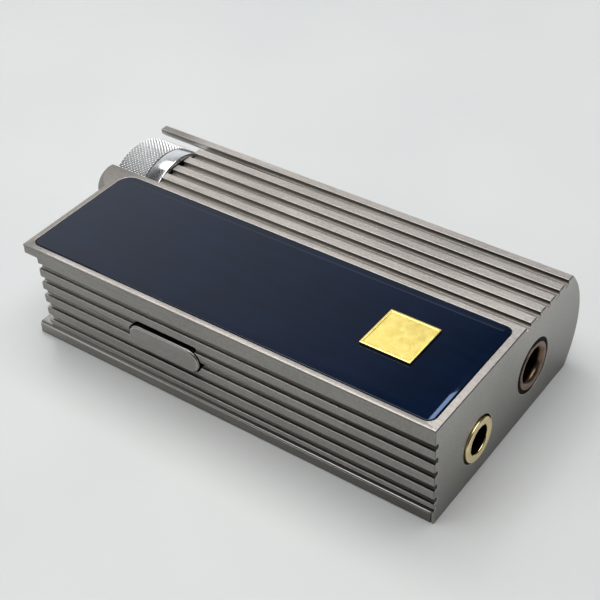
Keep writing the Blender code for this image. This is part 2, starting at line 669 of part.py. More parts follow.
def make_button(metal, steel, black, green, pressing):
    place = (BUTTON_X, 0, BUTTON_Z)
    face_y = NEAR_Y - BUTTON_PROUD
    flange_y = INNER_NEAR_Y + SEAT
    stem_y = flange_y + FLANGE_THICKNESS
    plunger_y = stem_y + STEM_LENGTH + SEAM
    switch_y = plunger_y + PLUNGER_SHOWN
    board_y = switch_y + SWITCH_DEPTH + SEAT

    def cap_outline(inset):
        return pill(BUTTON_LENGTH - 2 * inset, BUTTON_HEIGHT - 2 * inset)

    cap = chamfered(cap_outline, flange_y + SEAT, face_y, "Y", BUTTON_CHAMFER)
    button = piece("side_button", cap, metal, place, pressing)
    flange = pill(BUTTON_LENGTH + 2 * FLANGE_MARGIN, BUTTON_HEIGHT + 2 * FLANGE_MARGIN)
    join(button, "flange", prism(flange, flange_y, stem_y, "Y"), place)
    stem = rod(flange_y + SEAT, stem_y + STEM_LENGTH, STEM_RADIUS, "Y", SMALL_ROUND_STEPS)
    join(button, "stem", stem, place)
    plunger = rod(plunger_y, plunger_y + PLUNGER_LENGTH, PLUNGER_RADIUS, "Y", SMALL_ROUND_STEPS)
    piece("switch_plunger", plunger, black, place, pressing)

    # The switch stands on a small upright board behind the near wall
    case = centred_box(SWITCH_LENGTH, SWITCH_HEIGHT)
    switch = piece("switch_body", prism(case, switch_y, switch_y + SWITCH_DEPTH, "Y"), steel, place)
    well_y = plunger_y + PLUNGER_LENGTH + BUTTON_TRAVEL + SEAM
    cut(switch, "well", rod(-OUT_Y, well_y, PLUNGER_RADIUS + SEAM, "Y", SMALL_ROUND_STEPS), place)
    half = SWITCH_BOARD_LENGTH / 2
    plan = rounded_box(-half, half, PART_Z, ROOF_Z - SEAT, [EDGE_RADIUS] * 4)
    piece("switch_board", prism(plan, board_y, board_y + BOARD_THICKNESS, "Y"), green, (BUTTON_X, 0, 0))


def make_board(green):
    low = BOARD_Z - BOARD_THICKNESS
    board = piece("main_board", prism(pocket_outline(BOARD_GAP), low, BOARD_Z, "Z"), green)
    for index, (x, y) in enumerate(post_places(), 1):
        hole = rod(-OUT_Z, OUT_Z, SCREW_RADIUS + SCREW_GAP, "Z", SMALL_ROUND_STEPS)
        cut(board, f"hole_{index}", hole, (x, y, 0))


def make_usb(steel, black):
    axis = (0, USB_Y, USB_Z)
    mouth_x = END_X + SEAM
    back_x = mouth_x + USB_LENGTH
    root_x = back_x - USB_LENGTH / 6
    inner_width, inner_height = USB_WIDTH - 2 * USB_WALL, USB_HEIGHT - 2 * USB_WALL
    shell = piece("usb_c_shell", prism(pill(USB_WIDTH, USB_HEIGHT), mouth_x, back_x, "X"), steel, axis)
    cut(shell, "inside", prism(pill(inner_width, inner_height), -OUT_X, OUT_X, "X"), axis)
    plug = pill(inner_width - 2 * SEAM, inner_height - 2 * SEAM)
    tongue = piece("usb_c_tongue", prism(plug, root_x, back_x, "X"), black, axis)
    blade = centred_box(USB_TONGUE_WIDTH, USB_TONGUE_THICKNESS, USB_TONGUE_THICKNESS / 4)
    join(tongue, "blade", prism(blade, mouth_x + USB_LENGTH / 10, root_x + SEAT, "X"), axis)


def make_jack(name, place, bore, bush, tip_x, length, width, metal, black):
    """A socket body on the board and the plated bush that lines its hole in the shell."""
    axis = (0, *place)
    front_x = INNER_JACK_X - SEAT
    half = width / 2
    case = rounded_box(-half, half, PART_Z - place[1], half, [EDGE_RADIUS] * 4)
    body = piece(f"{name}_body", prism(case, front_x - length, front_x, "X"), black, axis)
    cut(body, "bore", rod(front_x - length + half, OUT_X, bore, "X"), axis)
    lip = BUSH_CHAMFER
    profile = [
        (INNER_JACK_X, bore),
        (tip_x - lip, bore),
        (tip_x, bore + lip),
        (tip_x, bush - lip),
        (tip_x - lip, bush),
        (INNER_JACK_X, bush),
    ]
    piece(f"{name}_bush", ring(profile, "X"), metal, axis)


def make_jacks(gold, bronze, black):
    place_35, place_44 = (JACK_35_Y, JACK_35_Z), (JACK_44_Y, JACK_44_Z)
    size_35 = JACK_35_BORE, JACK_35_BUSH, JACK_X + BUSH_PROUD, JACK_35_LENGTH, JACK_35_WIDTH
    size_44 = JACK_44_BORE, JACK_44_BUSH, JACK_X - BUSH_RECESS, JACK_44_LENGTH, JACK_44_WIDTH
    make_jack("jack_3_5", place_35, *size_35, gold, black)
    make_jack("jack_4_4", place_44, *size_44, bronze, black)
    collar = tube(INNER_JACK_X, JACK_X - COLLAR_RECESS, JACK_44_BUSH + BUSH_GAP, JACK_44_COLLAR, "X")
    piece("jack_4_4_collar", collar, black, (0, *place_44))


def chip(name, place, length, width, height, material):
    """A moulded package standing on the board, its top edge drawn in."""

    def outline(inset):
        half, side = length / 2 - inset, width / 2 - inset
        return [(-half, -side), (half, -side), (half, side), (-half, side)]

    piece(name, chamfered(outline, PART_Z, PART_Z + height, "Z", height / 5), material, (*place, 0))


def make_components(black, steel, silver, ferrite):
    middle_x = (INNER_NOTCH_X + INNER_JACK_X) / 2
    middle_y = (INNER_NEAR_Y + INNER_FAR_Y) / 2

    def at(x, y):
        return middle_x + x, middle_y + y

    # The USB bridge stands under a shield can
    can_place = at(-0.0146, -0.0042)
    can_length, can_width, can_height, can_wall = 0.0096, 0.0080, 0.0022, 0.0003
    chip("usb_bridge_chip", can_place, 0.0060, 0.0060, 0.0009, black)
    top = PART_Z + can_height
    outside = prism(centred_box(can_length, can_width), PART_Z, top, "Z")
    can = piece("shield_can", outside, steel, (*can_place, 0))
    inside = prism(centred_box(can_length - 2 * can_wall, can_width - 2 * can_wall), 0, top - can_wall, "Z")
    cut(can, "inside", inside, (*can_place, 0))

    chip("dac_chip", at(-0.0012, -0.0032), 0.0070, 0.0070, 0.0010, black)
    chip("amp_chip_left", at(0.0068, -0.0052), 0.0050, 0.0050, 0.0009, black)
    chip("amp_chip_right", at(0.0068, 0.0028), 0.0050, 0.0050, 0.0009, black)
    chip("regulator_chip", at(-0.0037, 0.0043), 0.0040, 0.0030, 0.0010, black)
    for index in range(2):
        step = index * 0.0040
        chip(f"oscillator_{index + 1}", at(-0.0073, step - 0.0063), 0.0032, 0.0025, 0.0009, silver)
        step = index * 0.0053
        chip(f"inductor_{index + 1}", at(step - 0.0156, 0.0039), 0.0044, 0.0044, 0.0021, ferrite)
    radius, height, crimp = 0.0020, 0.0054, 0.0002
    profile = [
        (PART_Z, radius),
        (PART_Z + height / 6, radius),
        (PART_Z + height / 5, radius - crimp),
        (PART_Z + height / 4, radius),
        (PART_Z + height - crimp, radius),
        (PART_Z + height, radius - crimp),
    ]
    for index in range(4):
        can = turned(profile, "Z", SMALL_ROUND_STEPS)
        piece(f"capacitor_{index + 1}", can, silver, (*at(index * 0.0045 - 0.0126, 0.0106), 0))


def joint_axis(name, place):
    empty = bpy.data.objects.new(name, None)
    empty.location = place
    bpy.context.scene.collection.objects.link(empty)
    return empty


def main():
    for obj in list(bpy.data.objects):
        bpy.data.objects.remove(obj, do_unlink=True)

    titanium = finish("titanium", (0.30, 0.28, 0.26), 0.38, 1.0)
    glass = finish("navy_glass", (0.006, 0.010, 0.028), 0.06)
    adhesive = finish("adhesive_film", (0.02, 0.02, 0.02), 0.6)
    gilt = finish("gilt_plate", (0.90, 0.68, 0.20), 0.3, 1.0)
    chrome = finish("chrome", (0.62, 0.62, 0.63), 0.12, 1.0)
    gold = finish("gold_plating", (0.75, 0.58, 0.28), 0.25, 1.0)
    bronze = finish("bronze_plating", (0.33, 0.22, 0.15), 0.3, 1.0)
    steel = finish("nickel_steel", (0.45, 0.44, 0.42), 0.3, 1.0)
    silver = finish("can_aluminium", (0.60, 0.60, 0.60), 0.35, 1.0)
    black = finish("black_plastic", (0.015, 0.015, 0.015), 0.5)
    green = finish("solder_mask", (0.008, 0.06, 0.03), 0.4)
    ferrite = finish("ferrite", (0.08, 0.07, 0.06), 0.6)

    turning = joint_axis("volume_axis", (GUARD_X, KNOB_Y, KNOB_Z))
    pressing = joint_axis("button_axis", (BUTTON_X, NEAR_Y, BUTTON_Z))
    make_shell(titanium)
    make_base(titanium, steel)
    make_glass(glass, adhesive, gilt)
    make_knob(chrome, steel, black, turning)
    make_button(titanium, steel, black, green, pressing)
    make_board(green)
    make_usb(steel, black)
    make_jacks(gold, bronze, black)
    make_components(black, steel, silver, ferrite)


main()
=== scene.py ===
# %% [markdown]
# # A pocket DAC and headphone amplifier
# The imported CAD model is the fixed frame: every node is already in its place, in metres. This lesson keeps
# that frame and gives it looks. Pieces whose form is right are copied and get softened edges, and the
# turned, knurled and polished pieces are worked out again with numpy at a finer scale.

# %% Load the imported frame
import json

import bmesh
import bpy
import numpy as np
from mathutils import Matrix, Vector

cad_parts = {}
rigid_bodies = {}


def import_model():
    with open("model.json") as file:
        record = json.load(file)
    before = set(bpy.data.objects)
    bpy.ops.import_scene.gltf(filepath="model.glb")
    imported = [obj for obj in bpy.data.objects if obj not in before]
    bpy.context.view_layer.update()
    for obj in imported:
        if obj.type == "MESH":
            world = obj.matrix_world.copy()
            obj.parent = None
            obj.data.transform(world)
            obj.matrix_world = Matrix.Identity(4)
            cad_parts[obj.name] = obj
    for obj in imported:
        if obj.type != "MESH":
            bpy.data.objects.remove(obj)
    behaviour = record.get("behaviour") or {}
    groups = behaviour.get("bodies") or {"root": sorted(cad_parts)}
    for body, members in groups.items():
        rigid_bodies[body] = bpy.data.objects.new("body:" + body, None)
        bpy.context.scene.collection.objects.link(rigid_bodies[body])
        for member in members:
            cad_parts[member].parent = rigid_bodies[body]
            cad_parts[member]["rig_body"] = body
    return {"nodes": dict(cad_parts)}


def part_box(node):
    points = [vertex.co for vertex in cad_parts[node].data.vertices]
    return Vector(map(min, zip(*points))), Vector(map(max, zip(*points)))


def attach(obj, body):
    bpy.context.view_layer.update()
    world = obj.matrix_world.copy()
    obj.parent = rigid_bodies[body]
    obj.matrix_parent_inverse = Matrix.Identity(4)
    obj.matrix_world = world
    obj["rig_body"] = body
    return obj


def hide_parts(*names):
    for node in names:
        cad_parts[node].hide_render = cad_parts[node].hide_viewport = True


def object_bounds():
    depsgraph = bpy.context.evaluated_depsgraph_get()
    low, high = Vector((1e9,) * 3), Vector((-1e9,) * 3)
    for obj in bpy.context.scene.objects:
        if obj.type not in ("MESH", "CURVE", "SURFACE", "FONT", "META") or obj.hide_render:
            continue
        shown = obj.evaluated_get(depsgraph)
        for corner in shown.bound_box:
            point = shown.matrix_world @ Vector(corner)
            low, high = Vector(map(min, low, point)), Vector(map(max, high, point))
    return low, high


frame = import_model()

MM = 0.001
nodes = frame["nodes"]
cad_low, cad_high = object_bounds()
print(len(nodes), "nodes,", [round(x / MM, 2) for x in cad_high - cad_low], "mm")

# %% [markdown]
# ## Camera
# The photograph was solved from the straight edges of the body, which gives the place, the direction and
# the focal length of its camera. A camera could be aimed at a point, but that leaves its roll open. Here
# the three directions are the columns of the camera's matrix, so nothing has to be aimed.

# %% Place the camera
RIGHT = (0.80959268, 0.58531344, -0.04436061)
UP = (-0.34348582, 0.53367178, 0.77279488)
BACK = (0.47600123, -0.61041184, 0.63310364)
CAMERA_PLACE = (86.546 * MM, -109.001 * MM, 120.739 * MM)
LENS, SENSOR = 79.18, 36.0
NEAREST, FARTHEST = 0.01, 20.0


def put(name, data):
    """An object of a camera, a mesh or a light, put into the scene at the origin."""
    made = bpy.data.objects.new(name, data)
    bpy.context.scene.collection.objects.link(made)
    return made


camera_data = bpy.data.cameras.new("photo_camera")
camera_data.lens, camera_data.sensor_width = LENS, SENSOR
camera_data.clip_start, camera_data.clip_end = NEAREST, FARTHEST
camera = put("photo_camera", camera_data)
camera.matrix_world = Matrix([*zip(RIGHT, UP, BACK, CAMERA_PLACE), (0, 0, 0, 1)])
bpy.context.scene.camera = camera
print("camera", [round(x / MM, 1) for x in CAMERA_PLACE], "mm")

# %% [markdown]
# ## Helpers for materials
# Colours are written as sRGB hex values, the way they are read off a screen, while Blender's shaders work
# in linear light, so one function converts them. A second one adds a node, sets it and links it. Two more
# start a material and let one texture vary its colour and roughness together, since real surfaces are never
# one flat colour.

# %% Colour conversion
def linear(code):
    """sRGB hex to linear red, green, blue and alpha: a straight line at the low end, then a power of 2.4."""
    srgb = np.array([int(code[i : i + 2], 16) for i in (1, 3, 5)]) / 255
    low, high = srgb / 12.92, ((srgb + 0.055) / 1.055) ** 2.4
    return (*np.where(srgb <= 0.04045, low, high).tolist(), 1.0)


print("middle grey is", round(linear("#808080")[0], 3), "in linear light")

# %% Nodes and variation
def add(tree, kind, inputs=None, **settings):
    """Adds a node of a kind, sets its properties, and fills its inputs from sockets or constant values."""
    made = tree.nodes.new(kind)
    for key, value in settings.items():
        setattr(made, key, value)
    for key, value in (inputs or {}).items():
        if isinstance(value, bpy.types.NodeSocket):
            tree.links.new(value, made.inputs[key])
        else:
            made.inputs[key].default_value = value
    return made


def start(name, metallic, ior=1.5):
    """A material with one Principled shader, and its tree and Object coordinates to build on."""
    material = bpy.data.materials.new(name)
    material.use_nodes = True
    tree = material.node_tree
    shader = tree.nodes["Principled BSDF"]
    shader.inputs["Metallic"].default_value = metallic
    shader.inputs["IOR"].default_value = ior
    place = add(tree, "ShaderNodeTexCoord").outputs["Object"]
    return material, tree, shader, place


def vary(tree, shader, value, span, colours, rough):
    """Lets a texture value, stretched over a span, drive base colour and roughness between two ends each."""
    stretch = {"Value": value, "From Min": span[0], "From Max": span[1]}
    share = add(tree, "ShaderNodeMapRange", stretch).outputs[0]
    ends = {"Factor": share, 6: linear(colours[0]), 7: linear(colours[1])}
    tint = add(tree, "ShaderNodeMix", ends, data_type="RGBA")
    tree.links.new(tint.outputs[2], shader.inputs["Base Color"])
    dull = add(tree, "ShaderNodeMapRange", {"Value": share, "To Min": rough[0], "To Max": rough[1]})
    tree.links.new(dull.outputs[0], shader.inputs["Roughness"])


# %% [markdown]
# ## Titanium
# The shell, base plate and button are milled titanium, finely blasted and then drawn over an abrasive belt
# along the body. That gives the eye a warm grey metal with soft highlights, a sandy grain and faint lines
# lengthwise. The real grain is about 0.05 mm, too fine for the render, so it is drawn at 0.22 mm. One
# function makes a family of finishes that share this texture and differ in tone. Part of that tone is how
# each face was worked, and part is painted light and shade: a lighter top, darker recesses, and fades
# along the body.

# %% Dimming a colour
def dim(tree, shader, share):
    """Multiplies the base colour by a share."""
    tint = shader.inputs["Base Color"].links[0].from_socket
    settings = {"data_type": "RGBA", "blend_type": "MULTIPLY"}
    dimmed = add(tree, "ShaderNodeMix", {"Factor": 1.0, 6: tint, 7: share}, **settings)
    tree.links.new(dimmed.outputs[2], shader.inputs["Base Color"])


def dim_along(tree, shader, along, first, last, share):
    """Dims the base colour along an axis: it has the share at the first place and is whole at the last."""
    ends = {"Value": along, "From Min": first, "From Max": last, "To Min": share, "To Max": 1.0}
    dim(tree, shader, add(tree, "ShaderNodeMapRange", ends).outputs[0])


# %% Grain, lines and clouds
GRAIN, LINE_WIDTH, LINE_LENGTH, CLOUD = 0.22 * MM, 0.16 * MM, 9 * MM, 14 * MM
LINE_PART, CLOUD_PART, TEXTURE_SPAN = 0.4, 0.25, (0.36, 0.64)
GRAIN_STRENGTH, GRAIN_DEPTH = 0.35, 0.012 * MM


def titanium(name, colours, rough, reach=None):
    """Titanium with grain, lengthwise lines and clouds.

    A reach, if given, is an axis, two places on it and a share, and the colour is dimmed along it.
    """
    material, tree, shader, place = start(name, 1.0)
    sand = {"Vector": place, "Scale": 1 / GRAIN, "Detail": 3.0, "Roughness": 0.6}
    grain = add(tree, "ShaderNodeTexNoise", sand).outputs[0]
    stretch = {"Vector": place, "Scale": (1 / LINE_LENGTH, 1 / LINE_WIDTH, 1 / LINE_WIDTH)}
    drawn = add(tree, "ShaderNodeMapping", stretch).outputs[0]
    lines = add(tree, "ShaderNodeTexNoise", {"Vector": drawn, "Scale": 1.0, "Detail": 2.0}).outputs[0]
    cloud = add(tree, "ShaderNodeTexNoise", {"Vector": place, "Scale": 1 / CLOUD, "Detail": 2.0}).outputs[0]
    both = add(tree, "ShaderNodeMix", {"Factor": LINE_PART, "A": grain, "B": lines}).outputs[0]
    mixed = add(tree, "ShaderNodeMix", {"Factor": CLOUD_PART, "A": both, "B": cloud}).outputs[0]
    vary(tree, shader, mixed, TEXTURE_SPAN, colours, rough)
    if reach:
        axis, first, last, share = reach
        along = add(tree, "ShaderNodeSeparateXYZ", {0: place}).outputs[axis]
        dim_along(tree, shader, along, first, last, share)
    sandy = {"Height": both, "Strength": GRAIN_STRENGTH, "Distance": GRAIN_DEPTH}
    tree.links.new(add(tree, "ShaderNodeBump", sandy).outputs[0], shader.inputs["Normal"])
    return material


# %% The family of finishes
# Blasted sides: an even warm grey with a soft sheen
blasted = titanium("blasted_titanium", ("#807E7A", "#9F9D98"), (0.40, 0.52))
# Milled edges rubbed bright by handling
rubbed = titanium("rubbed_titanium_edge", ("#AAA7A2", "#C8C5C0"), (0.30, 0.40))
# Walls of the side grooves: darker as painted shade, with the cutter's own sheen
groove_light_shade = titanium("groove_painted_light_shade", ("#74726E", "#908E89"), (0.36, 0.46))
# Relief round the button and the button's flank: painted shade, almost black
pocket_shade = titanium("pocket_painted_shade", ("#1E1D1C", "#2C2B29"), (0.40, 0.50))
# Base plate: as the sides, with painted shade darkening it toward the socket end
plate_shade_reach = ("X", 34 * MM, -30 * MM, 0.5)
plate_grey = titanium("blasted_titanium_plate", ("#84827E", "#A3A19C"), (0.40, 0.52), plate_shade_reach)
# Chamfer of the base plate: a painted highlight, a fine bright line, duller toward the knob
highlight_reach = ("X", -30 * MM, 15 * MM, 0.5)
plate_edge_highlight = titanium("plate_edge_painted_highlight", ("#E0DDD8", "#F6F3EE"), (0.26, 0.34), highlight_reach)
# Seam above the base plate: a dark joint line, and painted shade deepens it toward the socket end
seam_shade_reach = ("X", 10 * MM, -32 * MM, 0.2)
seam = titanium("milled_titanium_seam", ("#62605C", "#7A7873"), (0.36, 0.46), seam_shade_reach)
# Walls of the top slots: pale as painted light, with painted shade along their upper edge
slot_wall_light_shade = titanium("slot_wall_painted_light_shade", ("#B8B5B0", "#CFCCC7"), (0.40, 0.50))
# Top, belt-finished and a little warmer; its lighter tone is partly painted light, and the dark by the knob
# is painted shade
belt_shade_reach = ("X", -30 * MM, -25 * MM, 0.56)
belted_lit_top = titanium("belted_titanium_top_painted_light", ("#9D9792", "#C1BBB5"), (0.38, 0.50), belt_shade_reach)
# Socket end, faced with a cutter: smoother, and darker toward the floor as painted shade
face_shade_reach = ("Z", 1 * MM, 15 * MM, 0.52)
faced = titanium("faced_titanium_end", ("#979591", "#BCBAB5"), (0.34, 0.44), face_shade_reach)
print(len(bpy.data.materials), "materials so far")

# %% [markdown]
# ## Joint line of the base plate
# The base plate lies in the shell with a hairline joint along its chamfer, whose bright line is a painted
# highlight. The line is finer than the bevel that rounds the chamfer, so cutting it would spoil the bevel.
# It is drawn in the chamfer's finish instead: where the height, tilted slightly along the body, comes close
# to the height of the line, the colour is dimmed.

# %% Draw the joint line
JOINT_LINE, LINE_SLOPE, LINE_HALF, LINE_SOFT, LINE_SHARE = 1.66 * MM, 0.0027, 0.05 * MM, 0.03 * MM, 0.3


def reopened(material):
    """A made material's tree and shader, and its Object coordinates split into X, Y and Z."""
    tree = material.node_tree
    place = add(tree, "ShaderNodeTexCoord").outputs["Object"]
    return tree, tree.nodes["Principled BSDF"], add(tree, "ShaderNodeSeparateXYZ", {0: place}).outputs


def beside(tree, value, line, half, soft, on, off):
    """One share on a line and another off it: the distance to the line is stretched over its soft edge."""
    apart = add(tree, "ShaderNodeMath", {0: value, 1: line}, operation="SUBTRACT").outputs[0]
    aside = add(tree, "ShaderNodeMath", {0: apart}, operation="ABSOLUTE").outputs[0]
    ends = {"Value": aside, "From Min": half, "From Max": half + soft, "To Min": on, "To Max": off}
    return add(tree, "ShaderNodeMapRange", ends).outputs[0]


tree, shader, spot = reopened(plate_edge_highlight)
tilt = {0: spot["X"], 1: LINE_SLOPE, 2: spot["Z"]}
height = add(tree, "ShaderNodeMath", tilt, operation="MULTIPLY_ADD").outputs[0]
dim(tree, shader, beside(tree, height, JOINT_LINE, LINE_HALF, LINE_SOFT, LINE_SHARE, 1.0))
print("joint line", round(2 * LINE_HALF / MM, 2), "mm wide")

# %% [markdown]
# ## Walls of the top slots
# The slots in the top are narrow, and the walls that face the near side show as a pale strip of painted
# light under a dark upper edge of painted shade. That edge is darker toward the socket end. A finer form
# would not show at this size, so the painted shade dims the wall's finish by height, down to a share that
# itself changes along the body.

# %% Shade the upper edge
SLOT_SHADE_TOP, SLOT_SHADE_END = 15.1 * MM, 14.9 * MM
SHADE_KNOB_X, SHADE_SOCKET_X, SHADE_KNOB, SHADE_SOCKET = -25 * MM, 25 * MM, 0.55, 0.13

tree, shader, spot = reopened(slot_wall_light_shade)
ends = {"From Min": SHADE_KNOB_X, "From Max": SHADE_SOCKET_X, "To Min": SHADE_KNOB, "To Max": SHADE_SOCKET}
least = add(tree, "ShaderNodeMapRange", {"Value": spot["X"], **ends}).outputs[0]
dim_along(tree, shader, spot["Z"], SLOT_SHADE_TOP, SLOT_SHADE_END, least)
print("slot walls shaded from", round(SLOT_SHADE_TOP / MM, 1), "to", round(SLOT_SHADE_END / MM, 1), "mm")

# %% [markdown]
# ## Painted highlight in the side grooves
# Part of the way into each groove of the near side there is a paler line of reflected light. Part of the
# way into each groove of the near side there is a paler line, like a ledge that catches the light. It is
# about 0.2 mm wide, too small to be worth cutting. It is about 0.2 mm wide, and it is drawn at one depth
# as a painted highlight, a lighter band in the grooves' finish. Painted shade then darkens the whole
# finish toward the socket end.

# %% Draw the painted highlight
HIGHLIGHT_Y, HIGHLIGHT_HALF, HIGHLIGHT_SOFT, HIGHLIGHT_COLOUR = cad_low.y + 0.70 * MM, 0.08 * MM, 0.05 * MM, "#BDBAB5"
GROOVE_SHADE_REACH = (38 * MM, -20 * MM, 0.4)

tree, shader, spot = reopened(groove_light_shade)
on_highlight = beside(tree, spot["Y"], HIGHLIGHT_Y, HIGHLIGHT_HALF, HIGHLIGHT_SOFT, 1.0, 0.0)
tint = shader.inputs["Base Color"].links[0].from_socket
lit = add(tree, "ShaderNodeMix", {"Factor": on_highlight, 6: tint, 7: linear(HIGHLIGHT_COLOUR)}, data_type="RGBA")
tree.links.new(lit.outputs[2], shader.inputs["Base Color"])
dim_along(tree, shader, spot["X"], *GROOVE_SHADE_REACH)
print("ledge at", round(HIGHLIGHT_Y / MM, 2), "mm in Y")

# %% [markdown]
# ## Navy glass
# The top panel is a sheet of float glass over a navy print. The print is almost black, and what shows on it
# is the reflection of the room, so the shader is a dark blue body under a polished surface. Wiping leaves a
# faint haze, which changes the blue and the roughness a little.

# %% Glass, haze and wipes
HAZE, WIPE, WIPE_STRETCH, GLASS_IOR = 6 * MM, 1.2 * MM, 8, 1.52

navy_glass, tree, shader, place = start("navy_backed_glass", 0.0, GLASS_IOR)
haze = add(tree, "ShaderNodeTexNoise", {"Vector": place, "Scale": 1 / HAZE, "Detail": 3.0}).outputs[0]
stretch = {"Vector": place, "Scale": (1 / (WIPE_STRETCH * WIPE), 1 / WIPE, 1 / WIPE)}
wipes = add(tree, "ShaderNodeMapping", stretch).outputs[0]
smear = add(tree, "ShaderNodeTexNoise", {"Vector": wipes, "Scale": 1.0, "Detail": 4.0}).outputs[0]
film = add(tree, "ShaderNodeMix", {"Factor": 0.5, "A": haze, "B": smear}).outputs[0]
vary(tree, shader, film, (0.35, 0.7), ("#031024", "#051630"), (0.02, 0.06))
print(navy_glass.name, "with wipes", round(WIPE / MM, 1), "mm wide")

# %% [markdown]
# ## Plated and turned metals
# The ring behind the knob is chromed, the sockets' rings are gold and bronze over brass, and the badge is a
# gilt plate. Turned pieces keep fine tool rings round their axis. A ring every 0.06 mm is too fine to show,
# so they are drawn 0.15 mm apart, from the distance to the axis.

# %% Plating and tool rings
TOOL_PITCH, TOOL_STRENGTH, TOOL_DEPTH, PATCH = 0.15 * MM, 0.25, 0.004 * MM, 0.9 * MM
KNOB_AXIS = (8.25 * MM, 8.2 * MM)
SMALL_AXIS, LARGE_AXIS = (-8.15 * MM, 5.9 * MM), (5.65 * MM, 7.4 * MM)


def plated(name, colours, rough, axis=None):
    """A plated metal. With an axis, given as its Y and Z, tool rings run round it, a sine of the radius."""
    material, tree, shader, place = start(name, 1.0)
    patch = add(tree, "ShaderNodeTexNoise", {"Vector": place, "Scale": 1 / PATCH, "Detail": 4.0}).outputs[0]
    vary(tree, shader, patch, (0.3, 0.7), colours, rough)
    if axis:
        centred = {"Vector": place, "Location": (0, -axis[0], -axis[1]), "Scale": (0, 1, 1)}
        spoke = add(tree, "ShaderNodeMapping", centred).outputs[0]
        reach = add(tree, "ShaderNodeVectorMath", {0: spoke}, operation="LENGTH").outputs["Value"]
        turns = {0: reach, 1: 2 * np.pi / TOOL_PITCH}
        phase = add(tree, "ShaderNodeMath", turns, operation="MULTIPLY").outputs[0]
        wave = add(tree, "ShaderNodeMath", {0: phase}, operation="SINE").outputs[0]
        rings = {"Height": wave, "Strength": TOOL_STRENGTH, "Distance": TOOL_DEPTH}
        tree.links.new(add(tree, "ShaderNodeBump", rings).outputs[0], shader.inputs["Normal"])
    return material


# %% Chrome, gold, bronze and gilt
# A mirror that shows the room in bright and dark bands
mirror = plated("polished_chrome", ("#DCDDDF", "#E8E9EB"), (0.12, 0.18), KNOB_AXIS)
# A pale yellow with crisp highlights
gold = plated("gold_plating", ("#E8D49A", "#F6E6B4"), (0.20, 0.28), SMALL_AXIS)
# A dull brown that glows only at its lip
bronze = plated("bronze_plating", ("#6E5645", "#88725E"), (0.28, 0.36), LARGE_AXIS)
# A flat, bright yellow
gilt = plated("gilt_plate", ("#FCE27C", "#FFEA8E"), (0.30, 0.36))
# A neutral grey for screws, shaft and shields
nickel = plated("nickel_plated_steel", ("#9C9994", "#B4B1AC"), (0.24, 0.33))
# A light, soft grey for cans
bare_aluminium = plated("drawn_aluminium", ("#B4B4B3", "#C9C9C8"), (0.30, 0.40))
print(len(bpy.data.materials), "materials so far")

# %% [markdown]
# ## Satin chrome of the knob
# The knob's grip is chromed brass too, but its chrome is bright only on the tips that fingers touch. Down
# in the knurl it is dark, partly from dirt and wear and partly as painted shade. A texture could not tell
# tips from grooves, so the knob's mesh carries an attribute, crown, that is 1 on the tips and 0 in the
# grooves, and a little noise wears it.

# %% Satin chrome
WEAR = 0.14

chrome, tree, shader, place = start("satin_chrome", 1.0)
crown = add(tree, "ShaderNodeAttribute", attribute_name="crown").outputs["Fac"]
patch = add(tree, "ShaderNodeTexNoise", {"Vector": place, "Scale": 1 / PATCH, "Detail": 4.0}).outputs[0]
worn_and_shaded = add(tree, "ShaderNodeMath", {0: patch, 1: WEAR, 2: crown}, operation="MULTIPLY_ADD").outputs[0]
# Dark in the grooves from dirt and wear, and as painted shade
vary(tree, shader, worn_and_shaded, (WEAR / 2, 1.12), ("#808184", "#F4F5F6"), (0.42, 0.26))
print(chrome.name, "reads the crown of the knurl")

# %% [markdown]
# ## Plastics and the boards
# What is inside is hidden by the closed housing, yet each piece keeps a finish of its own: moulded black
# plastic and epoxy with a fine spark-eroded grain, green solder mask over copper tracks, sintered ferrite
# and an adhesive film. One function makes the moulded ones, because they differ only in tone and grain.

# %% Plastic, solder mask, ferrite and film
MOULD_STRENGTH, MOULD_DEPTH, TRACK_SPACING = 0.3, 0.01 * MM, 2.2 * MM


def moulded(name, colours, rough, grain, shine=0.5):
    """A moulded material: one noise of the grain's size varies the colour and raises the surface."""
    material, tree, shader, place = start(name, 0.0)
    sparks = {"Vector": place, "Scale": 1 / grain, "Detail": 3.0}
    texture = add(tree, "ShaderNodeTexNoise", sparks).outputs[0]
    vary(tree, shader, texture, (0.35, 0.65), colours, rough)
    shader.inputs["Specular IOR Level"].default_value = shine
    eroded = {"Height": texture, "Strength": MOULD_STRENGTH, "Distance": MOULD_DEPTH}
    tree.links.new(add(tree, "ShaderNodeBump", eroded).outputs[0], shader.inputs["Normal"])
    return material


# A matte black that hardly shines, as deep in the sockets
black_plastic = moulded("black_liquid_crystal_polymer", ("#060606", "#0C0C0D"), (0.5, 0.6), 0.15 * MM, 0.04)
# A charcoal with a dull gloss
epoxy = moulded("black_epoxy", ("#141415", "#1E1E1F"), (0.5, 0.6), 0.12 * MM)
# A brownish, stone-like grey
ferrite = moulded("sintered_ferrite", ("#3A3633", "#4A4541"), (0.55, 0.65), 0.2 * MM)
# A soft black without highlights
film_black = moulded("adhesive_film", ("#1A1A1C", "#232326"), (0.55, 0.65), 0.4 * MM)

# Green lacquer, lighter over the tracks
solder_mask, tree, shader, place = start("solder_mask_on_copper", 0.0)
cells = {"distance": "MANHATTAN", "feature": "DISTANCE_TO_EDGE"}
tracks = add(tree, "ShaderNodeTexVoronoi", {"Vector": place, "Scale": 1 / TRACK_SPACING}, **cells)
vary(tree, shader, tracks.outputs["Distance"], (0.05, 0.10), ("#1C6E47", "#0A3F27"), (0.30, 0.38))
print(len(bpy.data.materials), "materials")

